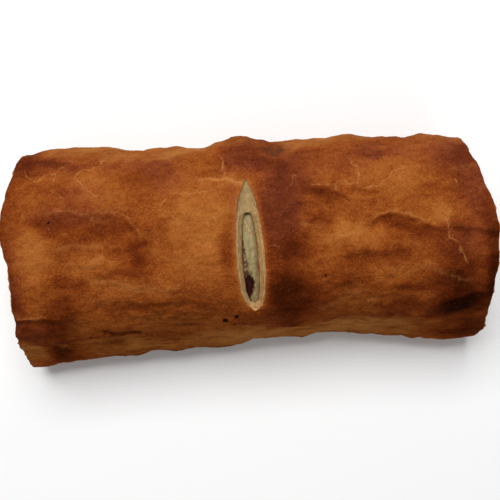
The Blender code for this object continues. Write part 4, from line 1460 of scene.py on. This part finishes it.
def skin_colour(shades, colours):
    """Colour of the baked skin."""
    dull, tan, scorch = (shades.mark(name) for name in ("dull", "tan", "scorch"))
    browning_and_shade = shades.mark("browning_and_shade")
    mottle = 0.0
    for amount, *grain in MOTTLES:
        mottle = shades.ragged(mottle, amount, *grain)
    browning_and_shade = shades.add(browning_and_shade, shades.times(mottle, shades.span(browning_and_shade, 0.55, 0.85, 1.0, 0.5)))
    browning_and_shade = shades.add(browning_and_shade, shades.times(shades.noise(*FLAKY_GRAIN), shades.times(dull, 1.5)))
    skin = shades.ramp(browning_and_shade, [(0.0, colours.straw), (0.2, colours.golden), (0.4, colours.amber),
                              (0.55, colours.russet), (0.7, colours.brown), (0.85, colours.dark),
                              (1.0, colours.scorched)])

    # Skin that browned another way, in patches
    mauve = shades.mix(shades.span(browning_and_shade, 0.4, 0.85), colours.mauve, colours.mauve_deep)
    for amount, grain, span, colour_there in (
            (shades.times(dull, 0.75, True), DULL_GRAIN, (-0.12, 0.12, 0.3, 1.0), colours.dull),
            (shades.times(tan, 0.9, True), TAN_GRAIN, (-0.15, 0.12, 0.35, 1.0), colours.tan),
            (shades.mark("reddish"), REDDISH_GRAIN, (-0.2, 0.15, 0.3, 0.85), mauve)):
        skin = shades.mix(shades.patchy(amount, grain, span), skin, colour_there)

    # Pale chips, painted highlight on the crests, painted sheen streaks, pale splits, and dark seams with
    # painted shadow
    chips = shades.ragged(shades.mark("pale_chips_and_crest_highlight"), 0.8, *CHIP_GRAIN)
    skin = shades.mix(shades.times(shades.span(chips, 0.45, 0.95), 0.5), skin, colours.split)
    # Painted sheen along the crests of the wrinkles
    sheen = shades.ragged(shades.mark("sheen_streak"), 1.1, *STREAK_GRAIN)
    skin = shades.mix(shades.span(sheen, 0.1, 1.2, 0.0, 0.5), skin, colours.rosy)
    skin = shades.mix(shades.thin_line("crack", 0.42), skin, colours.split)
    # Thin dark lines of painted shadow under the lip's overhang and below the edges of the folds
    skin = shades.mix(shades.thin_line("seam_shadow", 0.75), skin, colours.dark)

    # Fine flecks of dry skin, fewer where it is dark
    flecks = shades.span(shades.spots(FLECK_SPACING), *FLECK_EDGE, 1.0, 0.0)
    flecks = shades.patchy(flecks, FLECK_GRAIN, (0.0, 0.2, 0.0, 0.4))
    flecks = shades.times(flecks, shades.span(browning_and_shade, 0.65, 0.9, 1.0, 0.15))
    skin = shades.mix(flecks, skin, colours.straw)
    dust = shades.span(shades.spots(DUST_SPACING), *DUST_EDGE, 1.0, 0.0)
    dust = shades.patchy(dust, DUST_GRAIN, (-0.1, 0.2, 0.0, 0.3))
    skin = shades.mix(dust, skin, colours.rosy)

    # The burnt spot, the burnt specks, and painted shade in the steam holes
    spot = shades.ragged(scorch, 2.0, *SPOT_GRAIN)
    skin = shades.mix(shades.span(spot, 0.35, 1.9, 0.0, 0.76), skin, colours.ashen)
    specks = shades.ragged(shades.mark("char"), 1.6, *SPECK_GRAIN)
    skin = shades.mix(shades.span(specks, 0.65, 0.95, 0.0, 0.85), skin, colours.dark)
    hole = shades.ragged(shades.mark("pit_shade"), 0.5, 0.7)
    return shades.mix(shades.span(hole, 0.5, 0.68, 0.0, 0.95), skin, colours.scorched)


def crumb_colour(shades, colours):
    """Colour of the layers of cut pastry."""
    phase = shades.ragged(shades.times(shades.mark("layer"), 46.0), 22.0, 9.0)
    lines = shades.patchy(shades.math("SINE", phase), (3.5,), (-0.2, 0.2, 0.05, 0.4))
    lines = shades.add(lines, shades.noise(1.4, 4.0, 0.7))
    layers = shades.mix(shades.span(lines, -0.35, 0.35), colours.crumb_deep, colours.crumb_light)
    # Painted shade at the far tip of the cut
    layers = shades.mix(shades.mark("far_tip_shade"), layers, colours.crumb_in_shade)
    # Toasting, and painted shade on the walls of the hole, turn the crumb amber
    toast_and_shade_amount = shades.ragged(shades.mark("toast_and_shade"), 0.5, 2.5, 4.0, 0.65)
    return shades.mix(shades.span(toast_and_shade_amount, 0.1, 0.8), layers, colours.amber)


def crust_material(colours):
    """Baked pastry skin, with the cut faces of its crumb."""
    shades = Shades("baked_pastry", roughness=0.5, specular=0.4, ior=1.02)
    skin, layers = skin_colour(shades, colours), crumb_colour(shades, colours)
    shades.put(shades.shader.inputs["Base Color"], shades.mix(shades.mark("crumb"), skin, layers))
    gloss = shades.span(shades.noise(3.0, 3.0, 0.6), -0.25, 0.25, 0.42, 0.62)
    shades.put(shades.shader.inputs["Roughness"], gloss)
    shades.bump(shades.ragged(shades.noise(0.5, 3.0, 0.6), 1.6, 1.3, 3.0, 0.6, (1.5, 1, 1)), 0.26)
    return shades.material


def meat_material(colours):
    """Cooked, coarsely minced meat."""
    shades = Shades("cooked_meat", roughness=0.5, specular=0.4, ior=1.25)
    juice, stained, cooked = (shades.mark(name) for name in ("juice", "stained", "cooked"))
    flesh = shades.mix(shades.span(shades.noise(1.4, 4.0, 0.6), -0.2, 0.25), colours.meat, colours.meat_fat)
    at_end = shades.patchy(cooked, (2.2, 4.0, 0.6), (-0.2, 0.2, 0.6, 1.0))
    flesh = shades.mix(at_end, flesh, colours.meat_end)
    flesh = shades.mix(shades.span(shades.mark("grain"), 0.45, 0.0, 0.0, 0.35), flesh, colours.meat_brown)
    fat = shades.patchy(cooked, (1.6, 2.0, 0.5), (0.08, 0.16, 0.0, 0.55))
    flesh = shades.mix(fat, flesh, colours.meat_fat)
    flecks = shades.ragged(shades.mark("fleck"), 2.6, 0.5, 3.0, 0.7)
    flesh = shades.mix(shades.span(flecks, 0.75, 1.0, 0.0, 0.8), flesh, colours.meat_fleck)
    fibres = shades.ragged(stained, 2.0, 0.45, 3.0, 0.7)
    flesh = shades.mix(shades.span(fibres, 0.9, 1.3, 0.0, 0.45), flesh, colours.meat_fleck)
    dark = shades.ragged(stained, 2.8, 0.8, 4.0, 0.75)
    flesh = shades.mix(shades.times(shades.span(dark, 0.75, 1.05), 0.9), flesh, colours.stain)
    flesh = shades.mix(juice, flesh, colours.juice)
    shades.put(shades.shader.inputs["Base Color"], flesh)
    shades.put(shades.shader.inputs["Roughness"], shades.span(juice, 0.0, 1.0, 0.55, 0.45))
    shades.bump(shades.noise(0.6, 3.0, 0.6), 0.2)
    return shades.material


# ---------------------------------------------------------------------------
# Operators
# ---------------------------------------------------------------------------
def finish_piece(piece, places, material, node):
    """Bring a piece to its true size and place, give it its material and hand it to the frame."""
    write_places(piece, (places + MIDDLE_SHIFT) * MM)
    close_piece(piece)
    piece.data.materials.clear()
    piece.data.materials.append(material)
    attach(piece, "root")
    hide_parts(node)


class SAUSAGEROLL_OT_crust(bpy.types.Operator):
    """Model the baked crust: log, seam lip, folds, layered ends, tunnel and cut"""
    bl_idname = "sausage_roll.crust"
    bl_label = "Bake the Crust"

    def execute(self, context):
        sizes = context.scene.roll_sizes
        piece, angles = crust_topology(sizes)
        places, found = form_crust(piece, angles, sizes)
        mark_crust(piece, places, found)
        finish_piece(piece, places, crust_material(context.scene.roll_colours), "pastry")
        return {"FINISHED"}


class SAUSAGEROLL_OT_meat(bpy.types.Operator):
    """Model the core of coarse cooked meat"""
    bl_idname = "sausage_roll.meat"
    bl_label = "Fill with Meat"

    def execute(self, context):
        sizes = context.scene.roll_sizes
        piece = meat_topology(sizes)
        places = form_meat(piece, sizes.meat_around, sizes)
        finish_piece(piece, places, meat_material(context.scene.roll_colours), "filling")
        return {"FINISHED"}


FLOOR_SIZE = 3.0
PAPER = (0.86, 0.86, 0.86, 1.0)
SKY = (1.0, 1.0, 1.0, 1.0)
SKY_STRENGTH = 0.25
LENS = 50.0                   # millimetres, on a sensor of this width
SENSOR = 36.0
CLIP_START = 0.01
CAMERA_PLACE = (0.00085, -0.00082, 0.251)
CAMERA_TURN = -3.0            # degrees
# (name, place, width, height, power in watts)
LIGHTS = [
    ("key light", (-0.10, 0.48, 0.78), 0.7, 0.5, 10.0),
    ("fill light", (0.15, -0.75, 0.55), 0.6, 0.4, 1.2),
]


class SAUSAGEROLL_OT_stage(bpy.types.Operator):
    """Set up the floor, the soft light and the camera above the roll"""
    bl_idname = "sausage_roll.stage"
    bl_label = "Set the Stage"

    def execute(self, context):
        scene = context.scene
        bpy.ops.object.select_all(action="DESELECT")
        bpy.ops.mesh.primitive_plane_add(size=FLOOR_SIZE)
        floor = context.object
        floor.name = "floor"
        paper = Shades("paper", roughness=0.9, specular=0.1)
        paper.put(paper.shader.inputs["Base Color"], PAPER)
        floor.data.materials.append(paper.material)
        for name, place, width, height, power_watts in LIGHTS:
            bpy.ops.object.light_add(type="AREA", location=place)
            lamp = context.object
            lamp.name = name
            lamp.data.shape = "RECTANGLE"
            lamp.data.size = width
            lamp.data.size_y = height
            lamp.data.energy = power_watts
            lamp.rotation_euler = (-Vector(place)).to_track_quat("-Z", "Y").to_euler()
        scene.world = bpy.data.worlds.new("studio")
        scene.world.use_nodes = True
        sky = scene.world.node_tree.nodes["Background"]
        sky.inputs["Color"].default_value = SKY
        sky.inputs["Strength"].default_value = SKY_STRENGTH
        bpy.ops.object.camera_add(location=CAMERA_PLACE, rotation=(0, 0, math.radians(CAMERA_TURN)))
        camera = context.object
        camera.name = "camera"
        camera.data.lens = LENS
        camera.data.sensor_width = SENSOR
        camera.data.clip_start = CLIP_START
        scene.camera = camera
        scene.view_settings.view_transform = "Standard"
        return {"FINISHED"}


class SAUSAGEROLL_PT_panel(bpy.types.Panel):
    """Sizes, colours and building steps of the sausage roll"""
    bl_label = "Sausage Roll"
    bl_idname = "SAUSAGEROLL_PT_panel"
    bl_space_type = "VIEW_3D"
    bl_region_type = "UI"
    bl_category = "Sausage Roll"

    def draw(self, context):
        for group in (context.scene.roll_sizes, context.scene.roll_colours):
            box = self.layout.box()
            for name in group.__annotations__:
                box.prop(group, name)
        for operator in OPERATORS:
            self.layout.operator(operator.bl_idname)


OPERATORS = (SAUSAGEROLL_OT_crust, SAUSAGEROLL_OT_meat, SAUSAGEROLL_OT_stage)
CLASSES = (RollSizes, RollColours, *OPERATORS, SAUSAGEROLL_PT_panel)


def register():
    for cls in CLASSES:
        bpy.utils.register_class(cls)
    bpy.types.Scene.roll_sizes = bpy.props.PointerProperty(type=RollSizes)
    bpy.types.Scene.roll_colours = bpy.props.PointerProperty(type=RollColours)


def unregister():
    del bpy.types.Scene.roll_colours
    del bpy.types.Scene.roll_sizes
    for cls in reversed(CLASSES):
        bpy.utils.unregister_class(cls)


def main():
    register()
    bpy.ops.sausage_roll.crust()
    bpy.ops.sausage_roll.meat()
    bpy.ops.sausage_roll.stage()


if __name__ == "__main__":
    main()
